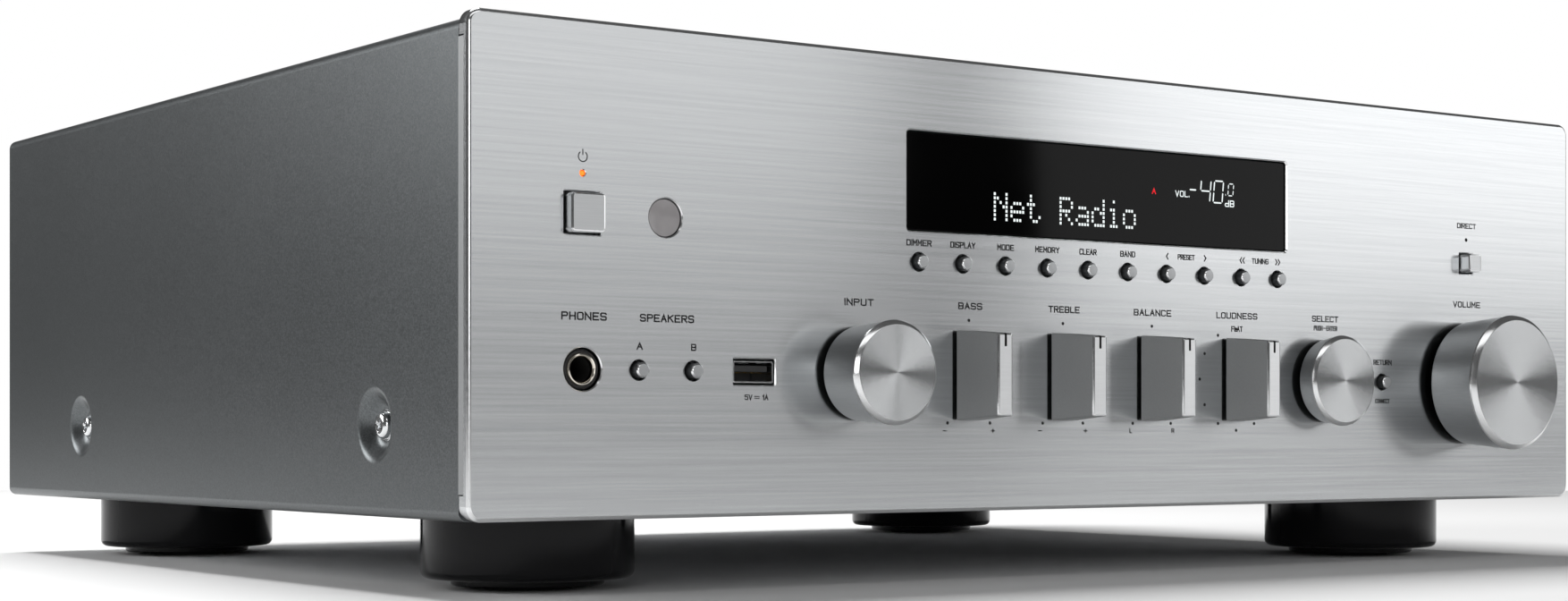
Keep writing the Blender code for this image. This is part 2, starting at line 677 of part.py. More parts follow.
def make_display(glass, tube):
    level = PANEL_BASE + DISPLAY_MIDDLE
    wide, high = DISPLAY_WIDTH - 2 * GAP, DISPLAY_HEIGHT - 2 * GAP
    rim_x, rim_z = DISPLAY_WIDTH / 2 + WINDOW_RIM, DISPLAY_HEIGHT / 2 + WINDOW_RIM
    rim_front = FRAME_FRONT
    bm = bmesh.new()
    add_box(
        bm, (-rim_x, rim_front, level - rim_z), (rim_x, rim_front + WINDOW_RIM_DEPTH, level + rim_z)
    )
    window = part("display_window", bm, glass)
    pane = bmesh.new()
    corner = DISPLAY_CORNER - GAP
    add_slab(
        pane, rounded(wide, high, corner, 3), FACE + WINDOW_RECESS,
        rim_front + WINDOW_RIM_DEPTH / 2, 0.0, level,
    )
    join(window, "pane", pane)
    front = rim_front + WINDOW_RIM_DEPTH + GAP
    bm = bmesh.new()
    add_box(
        bm, (-wide / 2, front, level - high / 2),
        (wide / 2, front + TUBE_DEPTH, level + high / 2),
    )
    part("display_module", bm, tube)


def make_sensor_window(lens):
    rim = SENSOR_RADIUS + 2 * FIT
    rim_front = PANEL_SKIN + GAP
    bm = bmesh.new()
    add_turned(bm, [
        (0.0, SENSOR_RECESS + GAP),
        (SENSOR_RADIUS - 2 * GAP, SENSOR_RECESS),
        (SENSOR_RADIUS - GAP, SENSOR_RECESS),
        (SENSOR_RADIUS - GAP, rim_front),
        (rim, rim_front),
        (rim, PANEL_DEPTH),
        (0.0, PANEL_DEPTH),
    ], 16)
    part("sensor_window", bm, lens, (SENSOR_X, FACE, PANEL_BASE + UPPER_ROW), local=True)


def make_power_lamp(lens):
    bm = bmesh.new()
    add_turned(bm, [
        (0.0, GAP),
        (LAMP_RADIUS - GAP / 2, 2 * GAP),
        (LAMP_RADIUS - GAP / 2, BOARD_FROM_FACE - GAP),
        (0.0, BOARD_FROM_FACE - GAP),
    ], SMALL_ROUND)
    part("power_lamp", bm, lens, (LEFT_COLUMN, FACE, PANEL_BASE + LAMP_ROW), local=True)


# Buttons

def make_round_buttons(metal):
    """A cap through the panel, a collar that the frame holds back, and a stem to the switch."""
    chamfer = CAP_CHAMFER / 2
    for name, x, z in button_places():
        bm = bmesh.new()
        add_turned(bm, [
            (0.0, -BUTTON_OUT),
            (BUTTON_RADIUS - chamfer, -BUTTON_OUT),
            (BUTTON_RADIUS, -BUTTON_OUT + chamfer),
            (BUTTON_RADIUS, COLLAR_FRONT),
            (BUTTON_COLLAR_RADIUS, COLLAR_FRONT),
            (BUTTON_COLLAR_RADIUS, COLLAR_FRONT + BUTTON_COLLAR_DEPTH),
            (BUTTON_STEM_RADIUS, COLLAR_FRONT + BUTTON_COLLAR_DEPTH),
            (BUTTON_STEM_RADIUS, STEM_END),
            (0.0, STEM_END),
        ], SMALL_ROUND)
        part(name, bm, metal, (x, FACE, z), local=True)


def make_square_buttons(metal):
    for name, x, size, out in square_places():
        collar = size + 4 * FIT
        face = rounded(size - 2 * CAP_CHAMFER, size - 2 * CAP_CHAMFER, CAP_CHAMFER, 2)
        cap = rounded(size, size, CAP_CHAMFER, 2)
        wide = rounded(collar, collar, CAP_CHAMFER, 2)
        stem = rounded(2 * BUTTON_STEM_RADIUS, 2 * BUTTON_STEM_RADIUS, BUTTON_STEM_RADIUS / 2, 2)
        back = COLLAR_FRONT + BUTTON_COLLAR_DEPTH
        bm = bmesh.new()
        add_loft(bm, [
            ring(face, -out), ring(cap, -out + CAP_CHAMFER), ring(cap, COLLAR_FRONT),
            ring(wide, COLLAR_FRONT), ring(wide, back), ring(stem, back), ring(stem, STEM_END),
        ])
        part(name, bm, metal, (x, FACE, PANEL_BASE + UPPER_ROW), local=True)


# Knobs and their shafts

def make_round_knobs(metal):
    """Tapered knobs with a bevelled lip, hollow behind, on a hub that takes the shaft."""
    for name, x, (lip, rear, out, behind) in knob_places():
        step = KNOB_BEVEL / 4
        floor = -out + KNOB_WALL + KNOB_BEVEL
        bore = SHAFT_RADIUS + GAP
        bm = bmesh.new()
        add_turned(bm, [
            (0.0, -out),
            (lip - KNOB_BEVEL, -out),
            (lip - KNOB_BEVEL / 3, -out + KNOB_BEVEL / 3),
            (lip, -out + KNOB_BEVEL),
            (lip - step, -out + KNOB_BEVEL + step),
            (rear, -behind),
            (rear - KNOB_WALL, -behind),
            (rear - KNOB_WALL, floor),
            (HUB_RADIUS, floor),
            (HUB_RADIUS, -behind),
            (bore, -behind),
            (bore, floor),
            (0.0, floor),
        ], ROUND)
        part(f"{name}_knob", bm, metal, (x, FACE, PANEL_BASE + CONTROL_ROW), local=True)


def make_tone_knobs(metal):
    """Wedges that are wide at the panel and narrow at the front, with a bore for the shaft."""
    c = TONE_CHAMFER
    for name, x in tone_places():
        bm = bmesh.new()
        add_loft(bm, [
            ring(rounded(TONE_FRONT_WIDTH - 2 * c, TONE_FRONT_HEIGHT - 2 * c, c, 1), -TONE_LENGTH),
            ring(rounded(TONE_FRONT_WIDTH, TONE_FRONT_HEIGHT, c, 1), -TONE_LENGTH + c),
            ring(rounded(TONE_REAR_WIDTH, TONE_REAR_HEIGHT, c, 1), -TONE_GAP),
        ])
        knob = part(f"{name}_knob", bm, metal, (x, FACE, PANEL_BASE + CONTROL_ROW), local=True)
        z = PANEL_BASE + CONTROL_ROW
        bore = bmesh.new()
        add_rod(
            bore, SHAFT_RADIUS + GAP, (x, FACE, z),
            (x, FACE - TONE_GAP - TONE_BORE_DEPTH, z),
        )
        cut(knob, "bore", bore)


def make_shafts(steel):
    lengths = [(name, x, out - KNOB_WALL - KNOB_BEVEL) for name, x, (_, _, out, _) in knob_places()]
    lengths += [(name, x, TONE_GAP + TONE_BORE_DEPTH) for name, x in tone_places()]
    for name, x, reach in lengths:
        room = BUTTON_TRAVEL + 2 * GAP if name == "select" else GAP
        bm = bmesh.new()
        add_turned(bm, [
            (0.0, -reach + room),
            (SHAFT_RADIUS, -reach + room),
            (SHAFT_RADIUS, BOARD_FROM_FACE - GAP),
            (0.0, BOARD_FROM_FACE - GAP),
        ], 12)
        part(f"{name}_shaft", bm, steel, (x, FACE, PANEL_BASE + CONTROL_ROW), local=True)


# Sockets on the front

def make_phones_jack(plastic):
    bm = bmesh.new()
    lead = JACK_RECESS / 2
    add_turned(bm, [
        (JACK_BORE_RADIUS, JACK_RECESS),
        (JACK_BORE_RADIUS + lead, lead),
        (JACK_RING_RADIUS, lead),
        (JACK_RING_RADIUS, JACK_RECESS),
        (JACK_RADIUS, JACK_RECESS),
        (JACK_RADIUS, JACK_DEPTH),
        (JACK_BORE_RADIUS, JACK_DEPTH),
    ], 20)
    place = (LEFT_COLUMN, FACE, PANEL_BASE + CONTROL_ROW)
    part("phones_jack", bm, plastic, place, local=True)


def make_usb_port(steel):
    width, height = USB_SHELL
    row, front = PANEL_BASE + CONTROL_ROW, FACE + USB_RECESS
    back = front + USB_DEPTH
    inner_x, inner_z = width / 2 - USB_WALL, height / 2 - USB_WALL
    bm = bmesh.new()
    add_box(
        bm, (USB_X - width / 2, front, row - height / 2), (USB_X + width / 2, back, row + height / 2)
    )
    port = part("usb_port", bm, steel)
    hollow = bmesh.new()
    add_box(
        hollow, (USB_X - inner_x, front - USB_DEPTH, row - inner_z),
        (USB_X + inner_x, back - 2 * USB_WALL, row + inner_z),
    )
    cut(port, "hollow", hollow)
    tongue = bmesh.new()
    half, thick = USB_TONGUE[0] / 2, USB_TONGUE[1]
    upper = row + inner_z - USB_WALL
    add_box(
        tongue, (USB_X - half, front + 2 * USB_WALL, upper - thick),
        (USB_X + half, back - USB_WALL, upper),
    )
    join(port, "tongue", tongue)


def make_front_board(board):
    """The circuit board with a switch behind each button and a housing round each shaft."""
    row, upper = PANEL_BASE + CONTROL_ROW, PANEL_BASE + UPPER_ROW
    side = WIDTH / 2 - BOARD_SIDE_MARGIN
    back = BOARD_FRONT + BOARD_THICKNESS
    bm = bmesh.new()
    add_box(bm, (-side, BOARD_FRONT, PANEL_BASE + BOARD_EDGE), (side, back, PANEL_TOP - BOARD_EDGE))
    plate = part("front_board", bm, board)
    fittings = bmesh.new()
    sink = BOARD_FRONT + BOARD_THICKNESS / 2
    switches = [(x, z) for _, x, z in button_places()] + [(x, upper) for _, x, _, _ in square_places()]
    half = SWITCH_SIZE / 2
    for x, z in switches:
        front = BOARD_FRONT - SWITCH_HEIGHT
        add_box(fittings, (x - half, front, z - half), (x + half, sink, z + half))
    for x in shaft_columns():
        add_rod(fittings, HOUSING_RADIUS, (x, FRAME_BACK + GAP, row), (x, sink, row), COARSE_ROUND)
    join(plate, "fittings", fittings)
    holes = bmesh.new()
    bore = SHAFT_RADIUS + SHAFT_RUNNING
    for x in shaft_columns():
        add_rod(holes, bore, (x, FRAME_BACK - GAP, row), (x, BOARD_FRONT, row), 12)
    jack = JACK_RADIUS + FIT
    front = BOARD_FRONT - BOARD_THICKNESS
    add_rod(holes, jack, (LEFT_COLUMN, front, row), (LEFT_COLUMN, back + GAP, row), 16)
    cut(plate, "holes", holes)


# Rear terminals

def speaker_body():
    """Width and height of the speaker terminals' body where it passes through the rear panel."""
    rim = 4 * REAR_SHEET
    return SPEAKER_PLATE[0] - rim, SPEAKER_PLATE[1] - rim


def jacks_body():
    width = JACKS_PITCH[0] * JACKS_COLUMNS
    return width, JACKS_PITCH[1] * 2


def grid(x, z, pitch, columns):
    """Two rows of places about the point x, z."""
    for i in range(columns):
        for row in (-0.5, 0.5):
            yield x + (i - (columns - 1) / 2) * pitch[0], z + row * pitch[1]


def make_speaker_terminals(plastic):
    z = PANEL_BASE + SOCKET_ROW
    width, height = speaker_body()
    plate_x, plate_z = SPEAKER_PLATE[0] / 2, SPEAKER_PLATE[1] / 2
    bm = bmesh.new()
    add_box(
        bm, (SPEAKER_X - plate_x, REAR + GAP, z - plate_z),
        (SPEAKER_X + plate_x, REAR + BLOCK_OUT, z + plate_z),
    )
    block = part("speaker_terminals", bm, plastic)
    body = bmesh.new()
    add_box(
        body, (SPEAKER_X - width / 2, REAR - BLOCK_DEPTH, z - height / 2),
        (SPEAKER_X + width / 2, REAR + BLOCK_OUT / 2, z + height / 2),
    )
    join(block, "body", body)
    collars, posts = bmesh.new(), bmesh.new()
    for x, level in grid(SPEAKER_X, z, SPEAKER_PITCH, SPEAKER_COLUMNS):
        collar = REAR + BLOCK_OUT + POST_COLLAR_HEIGHT
        add_rod(
            collars, POST_COLLAR_RADIUS, (x, REAR + BLOCK_OUT / 2, level), (x, collar, level), COARSE_ROUND
        )
        add_rod(posts, POST_RADIUS, (x, collar - GAP, level), (x, REAR + POST_OUT, level), COARSE_ROUND)
    join(block, "collars", collars)
    join(block, "posts", posts)


def make_rca_jacks(plastic):
    z = PANEL_BASE + SOCKET_ROW
    width, height = jacks_body()
    bm = bmesh.new()
    add_box(
        bm, (JACKS_X - width / 2, REAR - BLOCK_DEPTH, z - height / 2),
        (JACKS_X + width / 2, REAR + BLOCK_OUT, z + height / 2),
    )
    block = part("rca_jacks", bm, plastic)
    barrels, bores = bmesh.new(), bmesh.new()
    front, tip = REAR + BLOCK_OUT / 2, REAR + BLOCK_OUT + PHONO_OUT
    for x, level in grid(JACKS_X, z, JACKS_PITCH, JACKS_COLUMNS):
        add_rod(barrels, PHONO_RADIUS, (x, front, level), (x, tip, level), COARSE_ROUND)
        add_rod(bores, PHONO_BORE_RADIUS, (x, REAR + 2 * BLOCK_OUT, level), (x, tip + GAP, level), 6)
    join(block, "barrels", barrels)
    cut(block, "bores", bores)


def make_ac_inlet(plastic):
    z = PANEL_BASE + SOCKET_ROW
    width, height = INLET_SIZE
    wide, high, deep = INLET_RECESS
    tip = REAR + BLOCK_OUT
    bm = bmesh.new()
    add_box(
        bm, (INLET_X - width / 2, tip - deep - 2 * BLOCK_OUT, z - height / 2),
        (INLET_X + width / 2, tip, z + height / 2),
    )
    inlet = part("ac_inlet", bm, plastic)
    hollow = bmesh.new()
    add_box(
        hollow, (INLET_X - wide / 2, tip - deep, z - high / 2),
        (INLET_X + wide / 2, tip + GAP, z + high / 2),
    )
    cut(inlet, "hollow", hollow)
    pins = bmesh.new()
    for side in (-0.5, 0.5):
        x = INLET_X + side * INLET_PIN_PITCH
        add_rod(pins, INLET_PIN_RADIUS, (x, tip - deep - BLOCK_OUT, z), (x, tip - BLOCK_OUT, z), COARSE_ROUND)
    join(inlet, "pins", pins)


def make_network_port(steel):
    z = PANEL_BASE + SOCKET_ROW
    width, height = NETWORK_SIZE
    wide, high, deep = NETWORK_OPENING
    tip = REAR + BLOCK_OUT
    bm = bmesh.new()
    add_box(
        bm, (NETWORK_X - width / 2, tip - deep - 2 * BLOCK_OUT, z - height / 2),
        (NETWORK_X + width / 2, tip, z + height / 2),
    )
    port = part("network_port", bm, steel)
    hollow = bmesh.new()
    add_box(
        hollow, (NETWORK_X - wide / 2, tip - deep, z - high / 2),
        (NETWORK_X + wide / 2, tip + GAP, z + high / 2),
    )
    cut(port, "hollow", hollow)


def make_aerials(plastic):
    """Flat blades folded inwards along the rear panel, each on its own pivot."""
    level = PANEL_BASE + AERIAL_ROW
    front, back = REAR + BLOCK_OUT / 2, REAR + BLOCK_OUT / 2 + AERIAL_THICKNESS
    for side, hand in ((-1, "left"), (1, "right")):
        outline = []
        for i in range(7):
            angle = math.pi / 2 + math.pi * i / 6
            outline.append((AERIAL_WIDTH / 2 * math.cos(angle), AERIAL_WIDTH / 2 * math.sin(angle)))
        for i in range(5):
            angle = -math.pi / 2 + math.pi * i / 4
            reach = AERIAL_LENGTH - AERIAL_WIDTH / 2 - AERIAL_TIP_WIDTH / 2
            tip = AERIAL_TIP_WIDTH / 2
            outline.append((reach + tip * math.cos(angle), tip * math.sin(angle)))
        outline = [(-side * x, z) for x, z in outline]
        bm = bmesh.new()
        add_slab(bm, outline, front, back, side * AERIAL_X, level)
        pivot = (side * AERIAL_X, REAR, level)
        blade = part(f"wireless_aerial_{hand}", bm, plastic, pivot)
        bore = bmesh.new()
        radius = AERIAL_PIVOT_RADIUS + GAP
        end = REAR + AERIAL_PIVOT_LENGTH + GAP
        add_rod(bore, radius, (side * AERIAL_X, REAR, level), (side * AERIAL_X, end, level))
        cut(blade, "bore", bore)


# Inside the cabinet

def make_transformer(steel):
    floor = CHASSIS_TOP + GAP
    y = FACE + TRANSFORMER_FROM_FACE
    bm = bmesh.new()
    add_box(
        bm, (TRANSFORMER_X - CORE_SIZE[0] / 2, y - CORE_SIZE[1] / 2, floor),
        (TRANSFORMER_X + CORE_SIZE[0] / 2, y + CORE_SIZE[1] / 2, floor + CORE_SIZE[2]),
    )
    core = part("power_transformer", bm, steel)
    coil = bmesh.new()
    base = floor + (CORE_SIZE[2] - COIL_SIZE[2]) / 2
    outline = rounded(COIL_SIZE[0], COIL_SIZE[2], CORNER_RADIUS, 2)
    add_slab(
        coil, outline, y - COIL_SIZE[1] / 2, y + COIL_SIZE[1] / 2,
        TRANSFORMER_X, base + COIL_SIZE[2] / 2,
    )
    join(core, "coil", coil)


def main_board_top():
    return CHASSIS_TOP + STANDOFF_HEIGHT + GAP + BOARD_THICKNESS


def make_main_board(board):
    middle = MAIN_BOARD_MIDDLE
    half_x, half_y = MAIN_BOARD_WIDTH / 2, MAIN_BOARD_DEPTH / 2
    top = main_board_top()
    bm = bmesh.new()
    add_box(
        bm, (MAIN_BOARD_X - half_x, middle - half_y, top - BOARD_THICKNESS),
        (MAIN_BOARD_X + half_x, middle + half_y, top),
    )
    part("amplifier_board", bm, board)


def make_heat_sink(aluminium):
    """An extrusion with a thick base and fins, standing on the main board."""
    pitch = (SINK_LENGTH - SINK_FIN) / (SINK_FINS - 1)
    left, y = -SINK_LENGTH / 2, SINK_DEPTH / 2
    outline = [(left, y), (left + SINK_LENGTH, y)]
    for i in reversed(range(SINK_FINS)):
        near = left + i * pitch
        outline += [(near + SINK_FIN, -y), (near, -y)]
        if i:
            outline += [(near, y - SINK_BASE), (near - pitch + SINK_FIN, y - SINK_BASE)]
    low = main_board_top() + GAP
    middle = MAIN_BOARD_MIDDLE
    bm = bmesh.new()
    add_loft(bm, [
        [(MAIN_BOARD_X + px, middle + py, z) for px, py in outline] for z in (low, low + SINK_HEIGHT)
    ])
    part("heat_sink", bm, aluminium)


def make_capacitors(sleeve):
    low = main_board_top() + GAP
    y = MAIN_BOARD_MIDDLE - SINK_DEPTH / 2 - 2 * CAPACITOR_RADIUS
    for side, hand in ((-0.5, "left"), (0.5, "right")):
        x = MAIN_BOARD_X + side * CAPACITOR_SPACING
        bm = bmesh.new()
        add_rod(bm, CAPACITOR_RADIUS, (x, y, low), (x, y, low + CAPACITOR_HEIGHT), 20)
        part(f"filter_capacitor_{hand}", bm, sleeve)


clear_scene()
brushed = finish("brushed_aluminium", (0.62, 0.64, 0.65), 0.32, 1.0)
spun = finish("spun_aluminium", (0.60, 0.62, 0.63), 0.25, 1.0)
silver_paint = finish("silver_paint", (0.16, 0.18, 0.18), 0.5, 0.6)
frame_paint = finish("frame_paint", (0.42, 0.44, 0.45), 0.45, 0.5)
black_gloss = finish("black_gloss", (0.01, 0.01, 0.011), 0.12, 0.0)
black_plastic = finish("black_plastic", (0.02, 0.02, 0.02), 0.5, 0.0)
plated_steel = finish("plated_steel", (0.55, 0.55, 0.56), 0.3, 1.0)
smoked_glass = finish("smoked_glass", (0.004, 0.004, 0.005), 0.05, 0.0)
sensor_lens = finish("sensor_lens", (0.35, 0.35, 0.35), 0.3, 0.0)
amber_lens = finish("amber_lens", (1.0, 0.25, 0.03), 0.3, 0.0)
green_board = finish("green_board", (0.03, 0.16, 0.07), 0.5, 0.0)

make_front_panel(brushed)
make_front_frame(frame_paint)
make_top_cover(silver_paint)
make_bottom_chassis(plated_steel)
make_rear_panel(black_plastic)
make_feet(black_gloss)
make_cover_screws(plated_steel)
make_display(smoked_glass, smoked_glass)
make_sensor_window(sensor_lens)
make_power_lamp(amber_lens)
make_round_buttons(spun)
make_square_buttons(spun)
make_round_knobs(spun)
make_tone_knobs(spun)
make_shafts(plated_steel)
make_phones_jack(black_plastic)
make_usb_port(plated_steel)
make_front_board(green_board)
make_speaker_terminals(black_plastic)
make_rca_jacks(black_plastic)
make_ac_inlet(black_plastic)
make_network_port(plated_steel)
make_aerials(black_plastic)
make_transformer(plated_steel)
make_main_board(green_board)
make_heat_sink(plated_steel)
make_capacitors(black_plastic)
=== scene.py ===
"""A stereo receiver on a pale floor: a silver steel cabinet behind a thick brushed aluminium front."""

import math

import bmesh
import bpy
from mathutils import Matrix, Vector


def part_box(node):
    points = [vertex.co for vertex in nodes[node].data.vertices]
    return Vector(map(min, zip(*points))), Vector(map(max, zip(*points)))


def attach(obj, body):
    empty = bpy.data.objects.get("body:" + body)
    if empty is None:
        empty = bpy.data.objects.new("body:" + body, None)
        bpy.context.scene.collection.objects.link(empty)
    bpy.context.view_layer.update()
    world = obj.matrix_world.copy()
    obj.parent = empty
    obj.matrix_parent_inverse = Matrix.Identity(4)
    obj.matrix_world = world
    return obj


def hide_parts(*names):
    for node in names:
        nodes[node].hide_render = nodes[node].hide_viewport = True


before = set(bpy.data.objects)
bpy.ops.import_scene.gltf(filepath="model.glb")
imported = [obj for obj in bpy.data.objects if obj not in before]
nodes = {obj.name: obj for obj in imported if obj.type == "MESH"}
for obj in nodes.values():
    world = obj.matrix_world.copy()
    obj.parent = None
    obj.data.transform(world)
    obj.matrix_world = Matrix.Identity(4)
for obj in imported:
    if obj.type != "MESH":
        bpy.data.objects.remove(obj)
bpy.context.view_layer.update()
panel_low, panel_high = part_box("front_panel")
cover_low, cover_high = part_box("top_cover")
face = panel_low.y


# Bottom chassis: a pan of zinc-plated steel sheet, bent up at the front and sides, with pressed pillars
# for the main board. The plating shows a fine spangle and is a little duller where it was handled.

class Wire:
    """A socket in a material's nodes. Python operators on wires add the Math nodes that work them out."""

    def __init__(self, tree, socket=None):
        self.tree, self.socket = tree, socket

    def node(self, kind, settings=None, sockets=None, output=0):
        """Adds a node, makes its settings, fills its sockets, and gives back one of its outputs."""
        made = self.tree.nodes.new("ShaderNode" + kind)
        for name, value in (settings or {}).items():
            if name != "stops":
                setattr(made, name, value)
                continue
            for stop in value[2:]:
                made.color_ramp.elements.new(stop[0])
            for element, (position, colour) in zip(made.color_ramp.elements, value):
                element.position = position
                element.color = (*colour, 1.0)
        for name, value in (sockets or {}).items():
            if isinstance(value, Wire):
                self.tree.links.new(value.socket, made.inputs[name])
            else:
                made.inputs[name].default_value = value
        return Wire(self.tree, made.outputs[output])

    def maths(self, operation, a, b):
        return self.node("Math", {"operation": operation}, {0: a, 1: b})

    def __add__(self, other):
        return self.maths("ADD", self, other)

    def __sub__(self, other):
        return self.maths("SUBTRACT", self, other)

    def __mul__(self, other):
        return self.maths("MULTIPLY", self, other)

    def __rsub__(self, other):
        return self.maths("SUBTRACT", other, self)

    __radd__, __rmul__ = __add__, __mul__

    def within(self, low, high):
        """Brings a value of 0 to 1 into this range."""
        return self * (high - low) + low

    def noise(self, scale, detail=2.0, roughness=0.5):
        """Noise on these coordinates, stretched by a scale for each axis."""
        spread = self.node("Mapping", None, {"Vector": self, "Scale": scale})
        settings = {"Vector": spread, "Scale": 1.0, "Detail": detail, "Roughness": roughness}
        return self.node("TexNoise", None, settings)

    def blend(self, first, second):
        """Mixes two colours by this value."""
        colours = {"Factor": self, 6: (*first, 1.0), 7: (*second, 1.0)}
        return self.node("Mix", {"data_type": "RGBA"}, colours, output=2)

    def bump(self, strength, distance):
        """A normal from this height. The distance is in metres."""
        return self.node("Bump", None, {"Height": self, "Strength": strength, "Distance": distance})


class Finish:
    """A material: fixed numbers go straight on the shader's sockets, and wires feed what varies."""

    def __init__(self, name, **fixed):
        self.material = bpy.data.materials.new(name)
        self.material.use_nodes = True
        self.tree = self.material.node_tree
        self.shader = self.tree.nodes["Principled BSDF"]
        self.place = Wire(self.tree).node("TexCoord", output=3)
        for socket, value in fixed.items():
            self.feed(socket.replace("_", " "), value)

    def feed(self, socket, value):
        if isinstance(value, Wire):
            self.tree.links.new(value.socket, self.shader.inputs[socket])
        elif isinstance(value, tuple):
            self.shader.inputs[socket].default_value = (*value, 1.0)
        else:
            self.shader.inputs[socket].default_value = value
        return self


def dress(names, finish):
    """Gives CAD nodes this finish."""
    for name in names:
        nodes[name].data.materials.clear()
        nodes[name].data.materials.append(finish.material)


zinc = Finish("zinc_plated_steel", Metallic=1.0)
spangle = zinc.place.node(
    "TexVoronoi", {"feature": "F1"}, {"Vector": zinc.place, "Scale": 320.0}, output=1
)
spangle = spangle.node("RGBToBW", None, {"Color": spangle})
handled = zinc.place.noise((18.0, 18.0, 18.0), 4.0)
zinc.feed("Base Color", (spangle * 0.5 + handled * 0.5).blend((0.46, 0.47, 0.49), (0.66, 0.67, 0.68)))
zinc.feed("Roughness", (handled * 0.7 + spangle * 0.3).within(0.28, 0.48))
zinc.feed("Normal", spangle.bump(0.12, 0.0001))
dress(["bottom_chassis"], zinc)


# Inside: a laminated mains transformer, a main board on pillars with a black heat sink and two filter
# capacitors, and a control board behind the front. They are seen only through the vents.

def grained(name, scale, detail, colours, roughness, relief=None, **fixed):
    """A finish whose colour, roughness and relief follow one noise. One number is its scale on every axis."""
    made = Finish(name, **fixed)
    grain = made.place.noise(scale if isinstance(scale, tuple) else (scale,) * 3, detail)
    made.feed("Base Color", grain.blend(*colours))
    made.feed("Roughness", grain.within(*roughness))
    return made.feed("Normal", grain.bump(*relief)) if relief else made


laminate = Finish("transformer_laminations", Metallic=0.7)
layers = laminate.place.node("TexWave", {"bands_direction": "Y"}, {"Vector": laminate.place, "Scale": 620.0})
laminate.feed("Base Color", layers.blend((0.05, 0.05, 0.055), (0.12, 0.12, 0.13)))
laminate.feed("Roughness", laminate.place.noise((60.0, 60.0, 60.0)).within(0.4, 0.6))
laminate.feed("Normal", layers.bump(0.3, 0.0002))
dress(["power_transformer"], laminate)

board = Finish("circuit_board", Coat_Weight=0.4, Coat_Roughness=0.15)
traces = board.place.node(
    "TexBrick", None, {"Vector": board.place, "Scale": 160.0, "Mortar Size": 0.03}, output=1
)
board.feed("Base Color", traces.blend((0.012, 0.085, 0.035), (0.03, 0.15, 0.06)))
board.feed("Roughness", board.place.noise((90.0, 90.0, 90.0)).within(0.35, 0.55))
board.feed("Normal", traces.bump(0.4, 0.00008))
dress(["front_board", "amplifier_board"], board)

sink = Finish("extruded_heat_sink", Metallic=0.85)
drawn = sink.place.noise((2400.0, 2400.0, 12.0), 3.0)
sink.feed("Base Color", drawn.blend((0.035, 0.036, 0.038), (0.06, 0.062, 0.065)))
sink.feed("Roughness", drawn.within(0.38, 0.55))
sink.feed("Normal", drawn.bump(0.2, 0.0001))
dress(["heat_sink"], sink)

sleeve = grained("capacitor_sleeve", (40.0, 40.0, 4.0), 2.0, ((0.012, 0.014, 0.03), (0.03, 0.034, 0.06)),
                 (0.25, 0.4), Coat_Weight=0.3)
sleeve.feed("Normal", sleeve.place.noise((900.0, 900.0, 900.0)).bump(0.1, 0.00005))
dress(["filter_capacitor_left", "filter_capacitor_right"], sleeve)


# Feet: four turned drums of gloss black ABS, with a stepped underside and a rubber pad, each held by one
# screw from below. Their walls are polished and mirror the room in soft upright bands.

def lathe(bm, profile, centre, axis="Y", sides=96):
    """Turns a profile of (radius, distance, finish number) about an axis through the centre."""
    turn = {"X": Matrix(((0, 1, 0), (1, 0, 0), (0, 0, -1))), "Y": Matrix.Identity(3),
            "Z": Matrix(((1, 0, 0), (0, 0, -1), (0, 1, 0)))}[axis]
    rings = []
    for radius, along, _ in profile:
        angles = [2 * math.pi * i / sides for i in range(sides)] if radius > 0 else [0.0]
        points = [Vector((radius * math.cos(a), along, radius * math.sin(a))) for a in angles]
        rings.append([bm.verts.new(Vector(centre) + turn @ point) for point in points])
    pairs = list(zip(rings, rings[1:], profile))
    if profile[0][0] > 0:
        pairs.append((rings[-1], rings[0], profile[-1]))
    for near, far, (_, _, number) in pairs:
        for i in range(sides):
            j = (i + 1) % sides
            corners = (near[i % len(near)], near[j % len(near)], far[j % len(far)], far[i % len(far)])
            made = bm.faces.new(list(dict.fromkeys(corners)))
            made.material_index = number


def coated(mesh, finishes):
    """Puts these finishes on a mesh, and leaves each face's number as it is."""
    numbers = [face.material_index for face in mesh.polygons]
    mesh.materials.clear()
    for finish in finishes:
        mesh.materials.append(finish.material)
    mesh.polygons.foreach_set("material_index", numbers)


def piece(name, bm, finishes, body="cabinet", replaced=(), crease=30, flat=0.9999):
    """Makes a mesh into a piece of the model. Big flat faces are shaded flat and curved ones smooth."""
    if isinstance(bm, bmesh.types.BMesh):
        bmesh.ops.recalc_face_normals(bm, faces=bm.faces)
        mesh = bpy.data.meshes.new(name)
        bm.to_mesh(mesh)
        bm.free()
    else:
        mesh = bm
        mesh.name = name
    coated(mesh, finishes)
    mesh.shade_smooth()
    mesh.set_sharp_from_angle(angle=math.radians(crease))
    for polygon in mesh.polygons:
        if max(map(abs, polygon.normal)) > flat:
            polygon.use_smooth = False
    made = bpy.data.objects.new(name, mesh)
    bpy.context.scene.collection.objects.link(made)
    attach(made, body)
    if replaced:
        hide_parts(*replaced)
    return made


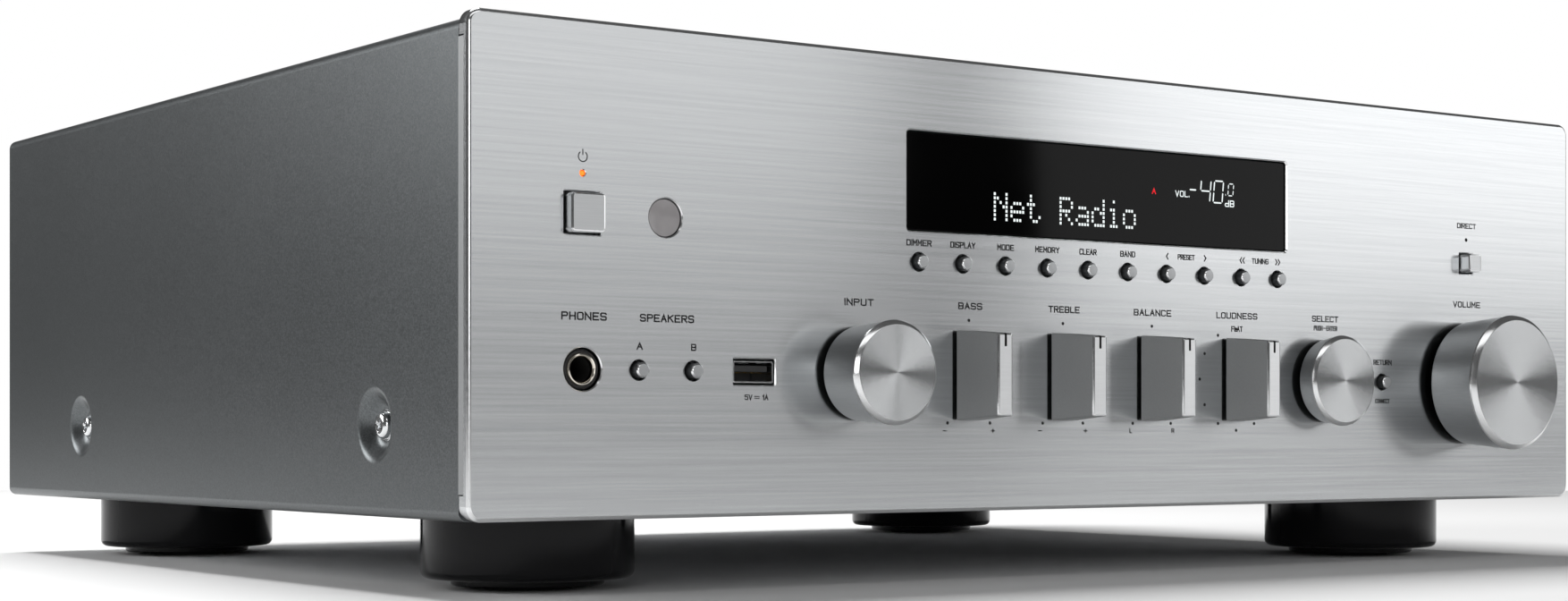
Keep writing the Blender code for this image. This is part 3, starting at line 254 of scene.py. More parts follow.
gloss = grained("gloss_black_abs", (12.0, 12.0, 30.0), 3.0, ((0.006, 0.006, 0.007), (0.012, 0.012, 0.013)),
                (0.06, 0.16), IOR=1.5, Specular_IOR_Level=0.15)
gloss.feed("Normal", gloss.place.noise((160.0, 160.0, 160.0), 2.0).bump(0.05, 0.0002))
pad_rubber = grained("foot_pad_rubber", 1500.0, 4.0, ((0.02, 0.02, 0.02), (0.04, 0.04, 0.04)),
                     (0.7, 0.9), (0.4, 0.0002))
for name in ("foot_front_left", "foot_front_right", "foot_rear_left", "foot_rear_right"):
    low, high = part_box(name)
    middle, top, outer = (low + high) / 2, high.z, (high.x - low.x) / 2
    bm = bmesh.new()
    profile = [(0.0, top, 0), (outer - 0.0005, top, 0), (outer, top - 0.0005, 0), (outer, 0.0052, 0)]
    for i in range(1, 7):
        turn = math.pi / 2 * i / 6
        profile.append((outer - 0.0022 + 0.0022 * math.cos(turn), 0.0052 - 0.0022 * math.sin(turn), 0))
    profile += [
        (0.0222, 0.0030, 0), (0.0215, 0.0026, 0), (0.0215, 0.0014, 0), (0.0211, 0.0010, 0),
        (0.0134, 0.0010, 0), (0.0131, 0.0007, 1), (0.0130, 0.0003, 1), (0.0127, 0.0, 1), (0.0, 0.0, 1),
    ]
    lathe(bm, profile, (middle.x, middle.y, 0.0), axis="Z", sides=128)
    piece(name.replace("foot", "turned_foot"), bm, [gloss, pad_rubber], replaced=[name])


# Rear panel: black painted steel, punched for the terminals and screwed to the cover and the chassis.
# The paint has a fine texture, and self-tapping screws run along its edges.

black_paint = grained("black_textured_paint", 1900.0, 3.0, ((0.014, 0.014, 0.015), (0.024, 0.024, 0.025)),
                      (0.42, 0.6), (0.35, 0.00012))
dress(["rear_panel"], black_paint)


class Growth:
    """A Geometry Nodes tree with named inputs, which ends in Realize Instances and Set Material."""

    def __init__(self, name, inputs):
        self.tree = bpy.data.node_groups.new(name, "GeometryNodeTree")
        self.keys = {}
        for label, kind in inputs.items():
            made = self.tree.interface.new_socket(label, in_out="INPUT", socket_type="NodeSocket" + kind)
            self.keys[label] = made.identifier
        self.tree.interface.new_socket("Geometry", in_out="OUTPUT", socket_type="NodeSocketGeometry")
        self.given = self.tree.nodes.new("NodeGroupInput")

    def node(self, kind, settings=None, sockets=None, output=0):
        """Adds a node and gives back one of its outputs. A text socket value names a tree input."""
        made = self.tree.nodes.new(kind)
        for name, value in (settings or {}).items():
            setattr(made, name, value)
        for name, value in (sockets or {}).items():
            if isinstance(value, bpy.types.NodeSocket):
                self.tree.links.new(value, made.inputs[name])
            elif isinstance(value, str):
                self.tree.links.new(self.given.outputs[value], made.inputs[name])
            else:
                made.inputs[name].default_value = value
        return made.outputs[output]

    def finish(self, geometry):
        whole = self.node("GeometryNodeRealizeInstances", None, {0: geometry})
        clad = self.node("GeometryNodeSetMaterial", None, {"Geometry": whole, "Material": "Finish"})
        self.tree.links.new(clad, self.tree.nodes.new("NodeGroupOutput").inputs[0])

    def mesh(self, **values):
        """The plain mesh that the tree makes from these inputs."""
        holder = bpy.data.objects.new("holder", bpy.data.meshes.new("holder"))
        bpy.context.scene.collection.objects.link(holder)
        modifier = holder.modifiers.new("growth", "NODES")
        modifier.node_group = self.tree
        for label, value in values.items():
            modifier[self.keys[label.replace("_", " ")]] = value
        graph = bpy.context.evaluated_depsgraph_get()
        made = bpy.data.meshes.new_from_object(holder.evaluated_get(graph))
        bpy.data.objects.remove(holder)
        return made


def pattern(bm):
    """A single shape that a Growth repeats. It is removed when the copies are made."""
    mesh = bpy.data.meshes.new("pattern")
    bmesh.ops.recalc_face_normals(bm, faces=bm.faces)
    bm.to_mesh(mesh)
    bm.free()
    made = bpy.data.objects.new("pattern", mesh)
    bpy.context.scene.collection.objects.link(made)
    return made


def points_mesh(places):
    mesh = bpy.data.meshes.new("places")
    mesh.from_pydata([tuple(place) for place in places], [], [])
    made = bpy.data.objects.new("places", mesh)
    bpy.context.scene.collection.objects.link(made)
    return made


repeat = Growth(
    "repeat_at_places", {"Places": "Object", "Shape": "Object", "Turn": "Vector", "Finish": "Material"}
)
where = repeat.node("GeometryNodeObjectInfo", None, {"Object": "Places"}, output=4)
what = repeat.node("GeometryNodeObjectInfo", None, {"Object": "Shape"}, output=4)
copies = repeat.node(
    "GeometryNodeInstanceOnPoints", None, {"Points": where, "Instance": what, "Rotation": "Turn"}
)
repeat.finish(copies)


def repeated(bm, places, finish, turn=(0.0, 0.0, 0.0)):
    """Copies of one shape at these places, as a plain mesh."""
    shape, dots = pattern(bm), points_mesh(places)
    made = repeat.mesh(Places=dots, Shape=shape, Turn=turn, Finish=finish.material)
    bpy.data.objects.remove(shape)
    bpy.data.objects.remove(dots)
    return made


def cross_recess(bm, reach, breadth, depth, at):
    """A cross-shaped pit on the -Y side of a head, as four tapered walls round a floor."""
    outline = []
    for quarter in range(4):
        spin = Matrix.Rotation(quarter * math.pi / 2, 2)
        corners = (reach, -breadth), (reach, breadth), (breadth, breadth)
        outline += [spin @ Vector(corner) for corner in corners]
    rim = [bm.verts.new((p.x, at, p.y)) for p in outline]
    floor = [bm.verts.new((p.x * 0.55, at + depth, p.y * 0.55)) for p in outline]
    for i in range(12):
        bm.faces.new((rim[i], rim[(i + 1) % 12], floor[(i + 1) % 12], floor[i]))
    bm.faces.new(floor)
    return rim


def screw_head(radius, height, washer=0.0):
    """A domed cross-head screw that stands on y = 0 and faces -Y, on a washer if it has one."""
    bm = bmesh.new()
    sides, crown = 24, []
    rim = cross_recess(bm, radius * 0.52, radius * 0.11, height * 0.75, -height)
    levels = [(0.62, 1.0), (0.80, 0.93), (0.93, 0.72), (1.0, 0.40), (1.0, 0.0)]
    angles = [2 * math.pi * i / sides for i in range(sides)]
    for share, rise in levels:
        reach = radius * share
        crown.append([bm.verts.new((reach * math.cos(a), -height * rise, reach * math.sin(a))) for a in angles])
    edges = []
    for loop in (rim, crown[0]):
        for ends in zip(loop, loop[1:] + loop[:1]):
            edges.append(bm.edges.get(ends) or bm.edges.new(ends))
    bmesh.ops.bridge_loops(bm, edges=edges)
    for near, far in zip(crown, crown[1:]):
        for i in range(sides):
            j = (i + 1) % sides
            bm.faces.new((near[i], near[j], far[j], far[i]))
    bm.faces.new(crown[-1])
    if washer:
        lathe(bm, [(radius * 0.7, -0.0001, 0), (washer - 0.0003, -0.0001, 0), (washer, 0.0001, 0),
                   (washer, 0.0005, 0), (radius * 0.7, 0.0005, 0)], (0, 0, 0), sides=40)
    return bm


chrome = grained("bright_chrome", 700.0, 2.0, ((0.74, 0.75, 0.76), (0.84, 0.85, 0.86)),
                 (0.10, 0.22), (0.06, 0.0001), Metallic=1.0)
rear_low, rear_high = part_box("rear_panel")
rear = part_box("top_cover")[1].y
row_inset = 0.0065
edge_places = [(x / 1000, rear, rear_high.z - row_inset) for x in (-205, -110, 0, 110, 205)]
edge_places += [(x / 1000, rear, rear_low.z + row_inset) for x in (-205, -150, -20, 60, 205)]
edge_places += [(side * 0.209, rear, 0.086) for side in (-1, 1)]
rear_screws = repeated(screw_head(0.0030, 0.0016), edge_places, chrome, (0.0, 0.0, math.pi))
piece("rear_panel_screws", rear_screws, [chrome])


# Speaker terminals: a moulded plate with eight binding posts in two rows. Each post is a knurled clear-coated
# cap, red or black, that screws along a nickel stud, and takes a bare wire or a 4 mm plug.

def outline(width, height, radius, steps=8):
    """A rectangle with round corners, about the origin."""
    points = []
    for quarter, (sx, sz) in enumerate(((1, 1), (-1, 1), (-1, -1), (1, -1))):
        for i in range(steps + 1):
            turn = math.pi / 2 * (quarter + i / steps)
            x = sx * (width / 2 - radius) + radius * math.cos(turn)
            points.append((x, sz * (height / 2 - radius) + radius * math.sin(turn)))
    return points


def loft(bm, rings, numbers=None):
    """A closed skin over rings of (outline, y), about x and z. Numbers give each band's finish."""
    loops = []
    for shape, y, x, z in rings:
        loops.append([bm.verts.new((x + px, y, z + pz)) for px, pz in shape])
    numbers = numbers or [0] * (len(loops) + 1)
    bm.faces.new(loops[0]).material_index = numbers[0]
    for near, far, number in zip(loops, loops[1:], numbers[1:]):
        for i in range(len(near)):
            j = (i + 1) % len(near)
            bm.faces.new((near[i], near[j], far[j], far[i])).material_index = number
    bm.faces.new(loops[-1]).material_index = numbers[-1]


def plate(bm, width, height, radius, front, back, x, z, edge=0.0005, numbers=None):
    """A slab with round corners and a rounded edge on its -Y side, or on its +Y side if front > back."""
    side = 1 if back > front else -1
    inner = outline(width - 2 * edge, height - 2 * edge, max(radius - edge, 0.0002))
    soft = outline(width - 0.6 * edge, height - 0.6 * edge, max(radius - 0.3 * edge, 0.0003))
    outer = outline(width, height, radius)
    loft(bm, [(inner, front, x, z), (soft, front + side * edge * 0.3, x, z),
              (outer, front + side * edge, x, z), (outer, back, x, z)], numbers)


moulded = grained("moulded_black_plastic", 1400.0, 3.0, ((0.016, 0.016, 0.017), (0.028, 0.028, 0.029)),
                  (0.38, 0.58), (0.3, 0.0001))
nickel = grained("nickel_plate", 500.0, 3.0, ((0.60, 0.57, 0.51), (0.72, 0.69, 0.62)),
                 (0.16, 0.28), (0.05, 0.0001), Metallic=1.0)


def tinted(name, dark, light):
    """A glossy coloured moulding with faint flow marks."""
    made = Finish(name, Coat_Weight=0.5, Coat_Roughness=0.08)
    flow = made.place.noise((300.0, 300.0, 300.0), 3.0)
    made.feed("Base Color", flow.blend(dark, light))
    made.feed("Roughness", flow.within(0.28, 0.4))
    return made.feed("Normal", flow.bump(0.08, 0.0001))


red_cap = tinted("red_cap", (0.42, 0.008, 0.008), (0.55, 0.02, 0.015))
black_cap = tinted("black_cap", (0.010, 0.010, 0.011), (0.02, 0.02, 0.021))
low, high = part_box("speaker_terminals")
plate_x, row_z = (low.x + high.x) / 2, (low.z + high.z) / 2
bm = bmesh.new()
plate(bm, high.x - low.x, high.z - low.z, 0.002, rear + 0.002, rear + 0.0003, plate_x, row_z)
post_pitch, post_rows = 0.034, 0.027
posts = [(plate_x + (i - 1.5) * post_pitch, rear, row_z + j * post_rows) for i in range(4) for j in (-0.5, 0.5)]
for x, _, z in posts:
    lathe(bm, [(0.0, rear + 0.0015, 0), (0.0084, rear + 0.0015, 0), (0.0084, rear + 0.0021, 0),
               (0.0078, rear + 0.0030, 0), (0.0076, rear + 0.0068, 0), (0.0072, rear + 0.0070, 0),
               (0.0, rear + 0.0070, 0)], (x, 0, z), sides=40)
piece("speaker_terminal_plate", bm, [moulded], replaced=["speaker_terminals"])


def knurled_cap(radius, start, end, flutes=18):
    """A fluted cap along +Y with rounded ends and a hole for the plug."""
    bm, rings = bmesh.new(), []
    sides = flutes * 4
    levels = [(start, 0.95), (start + 0.0004, 1.0), (end - 0.0012, 1.0), (end - 0.0003, 0.92), (end, 0.84)]
    for y, share in levels:
        ring = []
        for i in range(sides):
            dip = 0.035 * (1 - abs((i % 4) / 2 - 1)) if share == 1.0 else 0.0
            turn = 2 * math.pi * i / sides
            reach = radius * (share - dip)
            ring.append(bm.verts.new((reach * math.cos(turn), y, reach * math.sin(turn))))
        rings.append(ring)
    for y, reach in ((end, 0.0022), (end - 0.009, 0.0022)):
        rings.append([
            bm.verts.new((reach * math.cos(2 * math.pi * i / sides), y, reach * math.sin(2 * math.pi * i / sides)))
            for i in range(sides)
        ])
    for near, far in zip(rings, rings[1:]):
        for i in range(sides):
            bm.faces.new((near[i], near[(i + 1) % sides], far[(i + 1) % sides], far[i]))
    bm.faces.new(rings[0])
    bm.faces.new(rings[-1])
    return bm


reach = high.y - rear
for name, finish, chosen in (("red", red_cap, posts[1::2]), ("black", black_cap, posts[0::2])):
    caps = repeated(knurled_cap(0.0059, 0.0075, reach - 0.0002), chosen, finish)
    piece(f"{name}_post_caps", caps, [finish], crease=20)
stud = bmesh.new()
lathe(stud, [(0.0, 0.0069, 0), (0.0048, 0.0069, 0), (0.0048, 0.0076, 0), (0.0, 0.0076, 0)], (0, 0, 0), sides=32)
sleeve_y = reach - 0.0001
lathe(stud, [(0.0021, sleeve_y - 0.008, 0), (0.0021, sleeve_y, 0), (0.0030, sleeve_y, 0),
             (0.0030, sleeve_y - 0.0002, 0), (0.00225, sleeve_y - 0.008, 0)], (0, 0, 0), sides=32)
piece("post_studs", repeated(stud, posts, nickel), [nickel])


# Line jacks: six pairs of phono sockets on a moulded block. Each is a nickel barrel round a coloured
# insulator, white for the left channel above and red for the right channel below.

low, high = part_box("rca_jacks")
jacks_x, jacks_z = (low.x + high.x) / 2, (low.z + high.z) / 2
bm = bmesh.new()
plate(bm, high.x - low.x, high.z - low.z, 0.0015, rear + 0.002, rear - 0.010, jacks_x, jacks_z)
piece("line_jack_block", bm, [moulded], replaced=["rca_jacks"])
tip = high.y - rear
jack = bmesh.new()
lathe(jack, [(0.0060, 0.0018, 0), (0.0060, 0.0032, 0), (0.0056, 0.0036, 0), (0.00415, 0.0036, 0),
             (0.00415, tip - 0.0005, 0), (0.0039, tip, 0), (0.0034, tip, 0), (0.0033, 0.0035, 0),
             (0.0030, 0.0018, 0)], (0, 0, 0), sides=36)
jack_pitch, jack_rows = 0.019, 0.017
jacks = [(jacks_x + (i - 2.5) * jack_pitch, rear, jacks_z + j * jack_rows) for i in range(6) for j in (-0.5, 0.5)]
piece("line_jack_barrels", repeated(jack, jacks, nickel), [nickel])
white_insert = tinted("white_insert", (0.62, 0.61, 0.57), (0.72, 0.71, 0.68))
red_insert = tinted("red_insert", (0.42, 0.01, 0.01), (0.52, 0.02, 0.02))
for name, finish, chosen in (("white", white_insert, jacks[1::2]), ("red", red_insert, jacks[0::2])):
    insert = bmesh.new()
    lathe(insert, [(0.0, 0.0075, 0), (0.0013, 0.0078, 0), (0.0016, tip - 0.0018, 0), (0.0028, tip - 0.0010, 0),
                   (0.0032, tip - 0.0012, 0), (0.0032, 0.0022, 0), (0.0, 0.0022, 0)], (0, 0, 0), sides=28)
    piece(f"{name}_jack_inserts", repeated(insert, chosen, finish), [finish])


# Mains inlet and network port: a black two-pin inlet with nickel blades, and a shielded network socket with
# a black insert and eight gold contacts. Both clip into the rear panel from inside.

dress(["ac_inlet"], moulded)
low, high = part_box("ac_inlet")
inlet = (low + high) / 2
bm = bmesh.new()
for side in (-1, 1):
    x = inlet.x + side * 0.0043
    lathe(bm, [(0.0, rear, 0), (0.00125, rear, 0), (0.00125, rear - 0.0135, 0), (0.0, rear - 0.0135, 0)],
          (x, 0, inlet.z), sides=24)
    lathe(bm, [(0.0, rear + 0.0004, 0), (0.0007, rear + 0.0003, 0), (0.00125, rear - 0.0003, 0),
               (0.0, rear - 0.0003, 0)], (x, 0, inlet.z), sides=24)
piece("inlet_pins", bm, [nickel])
dress(["network_port"], zinc)
low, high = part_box("network_port")
port = (low + high) / 2
gold = Finish("gold_flash", Metallic=1.0)
plating = gold.place.noise((400.0, 400.0, 400.0))
gold.feed("Base Color", plating.blend((0.75, 0.50, 0.16), (0.90, 0.66, 0.27)))
gold.feed("Roughness", plating.within(0.18, 0.3))
contact = bmesh.new()
bmesh.ops.create_cube(contact, size=1.0, matrix=Matrix.Diagonal((0.00045, 0.0075, 0.0004, 1.0)))
spring = [(port.x + (i - 3.5) * 0.00102, rear - 0.0045, port.z + 0.0030) for i in range(8)]
piece("network_contacts", repeated(contact, spring, gold), [gold])
bm = bmesh.new()
plate(bm, 0.0112, 0.0078, 0.0004, rear - 0.0088, rear - 0.0096, port.x, port.z)
piece("network_insert", bm, [moulded])


# Wireless aerials: two flat moulded blades that turn on bosses of the rear panel and fold down along it.
# Each is one matt black moulding with soft edges and a polished cap over its pivot.

for hand, side in (("left", -1), ("right", 1)):
    low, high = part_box(f"wireless_aerial_{hand}")
    z, width = (low.z + high.z) / 2, high.z - low.z
    hub = Vector((side * 0.190, (low.y + high.y) / 2, z))
    span = (high.x - low.x) - width / 2
    bm, rings = bmesh.new(), []
    for inset, y in ((0.0012, low.y), (0.0004, low.y + 0.0003), (0.0, low.y + 0.0012),
                     (0.0, high.y - 0.0012), (0.0004, high.y - 0.0003), (0.0012, high.y)):
        shape = []
        for i in range(17):
            turn = math.pi / 2 + math.pi * i / 16
            shape.append(((width / 2 - inset) * math.cos(turn), (width / 2 - inset) * math.sin(turn)))
        for i in range(13):
            turn = -math.pi / 2 + math.pi * i / 12
            tip_r = 0.005
            shape.append((span - tip_r + (tip_r - inset) * math.cos(turn), (tip_r - inset) * math.sin(turn)))
        rings.append(([(-side * px, pz) for px, pz in shape], y, hub.x, hub.z))
    loft(bm, rings)
    piece(f"aerial_blade_{hand}", bm, [moulded], body=f"aerial_{hand}",
          replaced=[f"wireless_aerial_{hand}"])
    bm = bmesh.new()
    lathe(bm, [(0.0, high.y - 0.0008, 0), (0.0046, high.y - 0.0008, 0), (0.0046, high.y + 0.0002, 0),
               (0.0040, high.y + 0.0007, 0), (0.0, high.y + 0.0009, 0)], (hub.x, 0, hub.z), sides=48)
    piece(f"aerial_cap_{hand}", bm, [gloss], body=f"aerial_{hand}")


# Top cover: one sheet of steel bent into a top, two sides and narrow flanges below, with slots over the
# warm parts and a dished dimple for each screw. The finish is satin silver paint with a fine metal flake.

def carved(bm, tools, finishes):
    """The mesh of bm after each (operation, tool) has been applied in turn."""
    made = []

    def holder(source):
        mesh = source if isinstance(source, bpy.types.Mesh) else bpy.data.meshes.new("stock")
        if mesh is not source:
            bmesh.ops.recalc_face_normals(source, faces=source.faces)
            source.to_mesh(mesh)
            source.free()
        coated(mesh, finishes)
        made.append(bpy.data.objects.new("stock", mesh))
        bpy.context.scene.collection.objects.link(made[-1])
        return made[-1]

    stock = holder(bm)
    for operation, shape in tools:
        modifier = stock.modifiers.new("carve", "BOOLEAN")
        modifier.operation, modifier.solver = operation, "EXACT"
        modifier.object = holder(shape)
    graph = bpy.context.evaluated_depsgraph_get()
    mesh = bpy.data.meshes.new_from_object(stock.evaluated_get(graph))
    for old in made:
        bpy.data.objects.remove(old)
    return mesh


def cover_outline(inset, bend=0.003, foot=0.0026, steps=10):
    side, low, high = cover_high.x - inset, cover_low.z + inset, cover_high.z - inset
    points = [(-cover_high.x + 0.008, low)]
    for x, z, radius, begin in (
        (-side + foot - inset, low + foot - inset, foot - inset, -90),
        (-side + bend - inset, high - bend + inset, bend - inset, 180),
        (side - bend + inset, high - bend + inset, bend - inset, 90),
        (side - foot + inset, low + foot - inset, foot - inset, 0),
    ):
        for i in range(steps + 1):
            turn = math.radians(begin - 90 * i / steps)
            points.append((x + radius * math.cos(turn), z + radius * math.sin(turn)))
    return points + [(cover_high.x - 0.008, low)]


sheet = 0.0012
skin = cover_outline(0.0) + cover_outline(sheet)[::-1]
bm = bmesh.new()
loft(bm, [(skin, cover_low.y, 0, 0), (skin, cover_high.y, 0, 0)])
screw_boxes = [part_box(f"cover_screw_{hand}_{end}") for hand in ("left", "right") for end in ("front", "rear")]
dimple, dimple_floor, dimple_depth = 0.0104, 0.0046, 0.0035
cups, dishes = bmesh.new(), bmesh.new()
for low, high in screw_boxes:
    middle, side = (low + high) / 2, -1 if low.x < 0 else 1
    outside = cover_high.x

    def dish(margin, lift, begin):
        """Points from the rim to the middle of a dish, pushed in by lift."""
        points = []
        for i in range(15):
            share = i / 14
            depth = dimple_depth * share * share * (3 - 2 * share)
            radius = dimple + margin - (dimple - dimple_floor) * share
            points.append((radius, side * (outside - depth - lift), 0))
        return begin + points + [(0.0, side * (outside - dimple_depth - lift), 0)]

    lathe(cups, [(0.0, side * (outside - sheet / 2), 0)]
          + dish(sheet, sheet, [(dimple + sheet, side * (outside - sheet / 2), 0)]),
          (0, middle.y, middle.z), axis="X", sides=64)
    lathe(dishes, [(0.0, side * (outside + 0.001), 0)] + dish(0.0, 0.0, [(dimple, side * (outside + 0.001), 0)]),
          (0, middle.y, middle.z), axis="X", sides=64)
slots = Growth("vent_slots", {"Shape": "Object", "Width": "Float", "Length": "Float", "Columns": "Int",
                              "Rows": "Int", "Centre": "Vector", "Finish": "Material"})
grid = slots.node("GeometryNodeMeshGrid", None,
                  {"Size X": "Width", "Size Y": "Length", "Vertices X": "Columns", "Vertices Y": "Rows"})
slot_shape = slots.node("GeometryNodeObjectInfo", None, {"Object": "Shape"}, output=4)
placed = slots.node("GeometryNodeInstanceOnPoints", None, {"Points": grid, "Instance": slot_shape})
slots.finish(slots.node("GeometryNodeTransform", None, {"Geometry": placed, "Translation": "Centre"}))
flake = Finish("silver_flake_paint", Metallic=0.9)
tools = [("UNION", cups), ("DIFFERENCE", dishes)]
for x in (0.072, -0.142):
    bm_slot = bmesh.new()
    end = outline(0.004, 0.062, 0.00199, 6)
    loops = [[bm_slot.verts.new((px, py, z)) for px, py in end] for z in (-0.003, 0.003)]
    for i in range(len(end)):
        j = (i + 1) % len(end)
        bm_slot.faces.new((loops[0][i], loops[0][j], loops[1][j], loops[1][i]))
    for loop in loops:
        bm_slot.faces.new(loop)
    shape = pattern(bm_slot)
    made = slots.mesh(Shape=shape, Width=7 * 0.014, Length=0.072, Columns=8, Rows=2,
                      Centre=(x, face + 0.180, cover_high.z), Finish=flake.material)
    bpy.data.objects.remove(shape)
    tools.append(("DIFFERENCE", made))
cells = flake.place.node("TexVoronoi", {"feature": "F1"}, {"Vector": flake.place, "Scale": 2600.0}, output=1)
glint = flake.place.node("RGBToBW", None, {"Color": cells})
cloud = flake.place.noise((5.0, 5.0, 5.0), 2.0)
flake.feed("Base Color", (glint * 0.8 + cloud * 0.2).blend((0.10, 0.108, 0.112), (0.17, 0.182, 0.187)))
flake.feed("Roughness", (glint * 0.6 + cloud * 0.4).within(0.28, 0.40))
flake.feed("Normal", flake.place.noise((1100.0, 1100.0, 1100.0), 2.0).bump(0.12, 0.0001))
piece("painted_cover", carved(bm, tools, [flake]), [flake], replaced=["top_cover"], crease=25)


# Cover screws: chrome cross-head machine screws on plain washers, two in each side, sunk in the dimples.
# They go through the cover into the upturned sides of the chassis.

seats = [(side * (cover_high.x - dimple_depth), (low.y + high.y) / 2, (low.z + high.z) / 2)
         for (low, high), side in zip(screw_boxes, (-1, -1, 1, 1))]
for hand, side, chosen in (("left", -1, seats[:2]), ("right", 1, seats[2:])):
    heads = repeated(screw_head(0.0037, 0.0021, 0.0045), chosen, chrome, (0.0, 0.5, side * math.pi / 2))
    names = [f"cover_screw_{hand}_{end}" for end in ("front", "rear")]
    piece(f"cover_screws_{hand}", heads, [chrome], replaced=names, crease=35)


# Front frame: the moulded carrier in the pocket behind the front. Only its two ends show, as silver strips
# in the cabinet's sides between the lips of the front.

frame_coat = grained("silver_carrier_coat", 1500.0, 3.0, ((0.30, 0.31, 0.315), (0.38, 0.39, 0.395)),
                     (0.35, 0.5), (0.1, 0.0001), Metallic=0.5)
dress(["front_frame"], frame_coat)


# Front: one plate of aluminium 5.5 mm thick, brushed along its length and clear anodised. Its outer edge and
# the mouth of every hole are cut with a diamond tool, which leaves them bright.

def facing(finish, centre, spread):
    """Tilts the normal at random across the rings of a turned face, as fine grooves do."""
    here = finish.place.node("Mapping", None, {"Vector": finish.place, "Location": [-c for c in centre]})
    flat = here.node("VectorMath", {"operation": "MULTIPLY"}, {0: here, 1: (1.0, 0.0, 1.0)})
    radius = flat.node("VectorMath", {"operation": "LENGTH"}, {0: flat}, output=1)
    direction = flat.node("VectorMath", {"operation": "NORMALIZE"}, {0: flat})
    groove = radius.node("TexWhiteNoise", {"noise_dimensions": "1D"}, {"W": radius * 1000.0})
    line = radius.node("TexNoise", {"noise_dimensions": "1D"}, {"W": radius, "Scale": 5200.0, "Detail": 2.0})
    tilt = (groove - 0.5) * spread[0] + (line - 0.5) * spread[1]
    push = here.node("VectorMath", {"operation": "SCALE"}, {0: direction, "Scale": tilt})
    normal = here.node("NewGeometry", output=1)
    sum_ = here.node("VectorMath", {"operation": "ADD"}, {0: normal, 1: push})
    finish.feed("Normal", here.node("VectorMath", {"operation": "NORMALIZE"}, {0: sum_}))
    return line


brushed = Finish("brushed_aluminium", Metallic=1.0, Anisotropic=0.65, Anisotropic_Rotation=0.25)
lines = brushed.place.noise((14.0, 14.0, 1500.0), 4.0, 0.65)
haze = brushed.place.noise((3.0, 3.0, 5.0), 2.0)
brushed.feed("Base Color", (lines * 0.8 + haze * 0.2).blend((0.52, 0.535, 0.55), (0.82, 0.835, 0.845)))
brushed.feed("Roughness", (lines * 0.6 + haze * 0.4).within(0.18, 0.25))
brushed.feed("Normal", lines.bump(0.05, 0.00003))
bright_edge = grained("diamond_cut_edge", 900.0, 2.0, ((0.84, 0.85, 0.86), (0.92, 0.93, 0.94)),
                      (0.12, 0.24), Metallic=1.0)

width, height = panel_high.x - panel_low.x, panel_high.z - panel_low.z
mid_z, depth = (panel_low.z + panel_high.z) / 2, panel_high.y - panel_low.y
bm = bmesh.new()
edge_steps = ((0.0010, 0.0), (0.0007, 0.00008), (0.0003, 0.0004), (0.0, 0.0009),
              (0.0, depth - 0.0010), (0.0003, depth - 0.0003), (0.0010, depth))
loft(bm, [(outline(width - 2 * inset, height - 2 * inset, 0.0040 - inset, 12), face + y, 0, mid_z)
          for inset, y in edge_steps], [0, 1, 1, 1, 0, 0, 0, 0])
strip_low, strip_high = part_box("front_frame")
pocket = bmesh.new()
pocket_size = Matrix.Diagonal((width + 0.02, 0.01, strip_high.z - strip_low.z + 0.0006, 1.0))
bmesh.ops.create_cube(
    pocket, size=1.0, matrix=Matrix.Translation((0, strip_low.y - 0.0003 + 0.005, mid_z)) @ pocket_size
)
holes = bmesh.new()


def mouth(shape, x, z, flare=0.00028, behind=0.006):
    """A hole through the front with a bright flared mouth."""
    def grown(by):
        return [(px + by * (px > 0) - by * (px < 0), pz + by * (pz > 0) - by * (pz < 0)) if len(shape) < 40 else
                (px * (1 + by / math.hypot(px, pz)), pz * (1 + by / math.hypot(px, pz))) for px, pz in shape]
    loft(holes, [(grown(flare + 0.001), face - 0.001, x, z), (grown(0.0), face + flare, x, z),
                 (shape, face + behind, x, z)], [1, 1, 0, 0])


def disc(radius, sides=48):
    return [(radius * math.cos(2 * math.pi * i / sides), radius * math.sin(2 * math.pi * i / sides))
            for i in range(sides)]


round_buttons = ["dimmer", "display", "mode", "memory", "clear", "band", "preset_down", "preset_up",
                 "tuning_down", "tuning_up", "speaker_a", "speaker_b", "return"]
for name in round_buttons:
    low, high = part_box(f"{name}_button")
    mouth(disc(0.00270), (low.x + high.x) / 2, (low.z + high.z) / 2, 0.00018)
for name in ("power", "direct"):
    low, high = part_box(f"{name}_button")
    side = high.x - low.x - 0.001
    mouth(outline(side, side, 0.0005, 4), (low.x + high.x) / 2, (low.z + high.z) / 2)
for name in ("input", "select", "volume", "bass", "treble", "balance", "loudness"):
    low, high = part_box(f"{name}_shaft")
    mouth(disc(0.0040), (low.x + high.x) / 2, (low.z + high.z) / 2)
for name, radius in (("phones_jack", 0.00565), ("sensor_window", 0.0052), ("power_lamp", 0.00082)):
    low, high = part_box(name)
    mouth(disc(radius), (low.x + high.x) / 2, (low.z + high.z) / 2, 0.0002 if radius < 0.001 else 0.0003)
low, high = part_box("usb_port")
usb = (low + high) / 2
mouth(outline(0.0137, 0.0072, 0.0006, 4), usb.x, usb.z, 0.0003)
low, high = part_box("display_window")
glass = (low + high) / 2
mouth(outline(high.x - low.x - 0.0044, high.z - low.z - 0.0044, 0.0012, 6), 0.0, glass.z, 0.0004)
front_mesh = carved(bm, [("DIFFERENCE", pocket), ("DIFFERENCE", holes)], [brushed, bright_edge])
piece("brushed_front", front_mesh, [brushed, bright_edge],
      replaced=["front_panel"], crease=28, flat=0.99999)


# Display: a smoked glass window set just behind the front, over a vacuum fluorescent tube. The lit segments
# are a little blue-white, with one small red mark, and show through the dark glass.

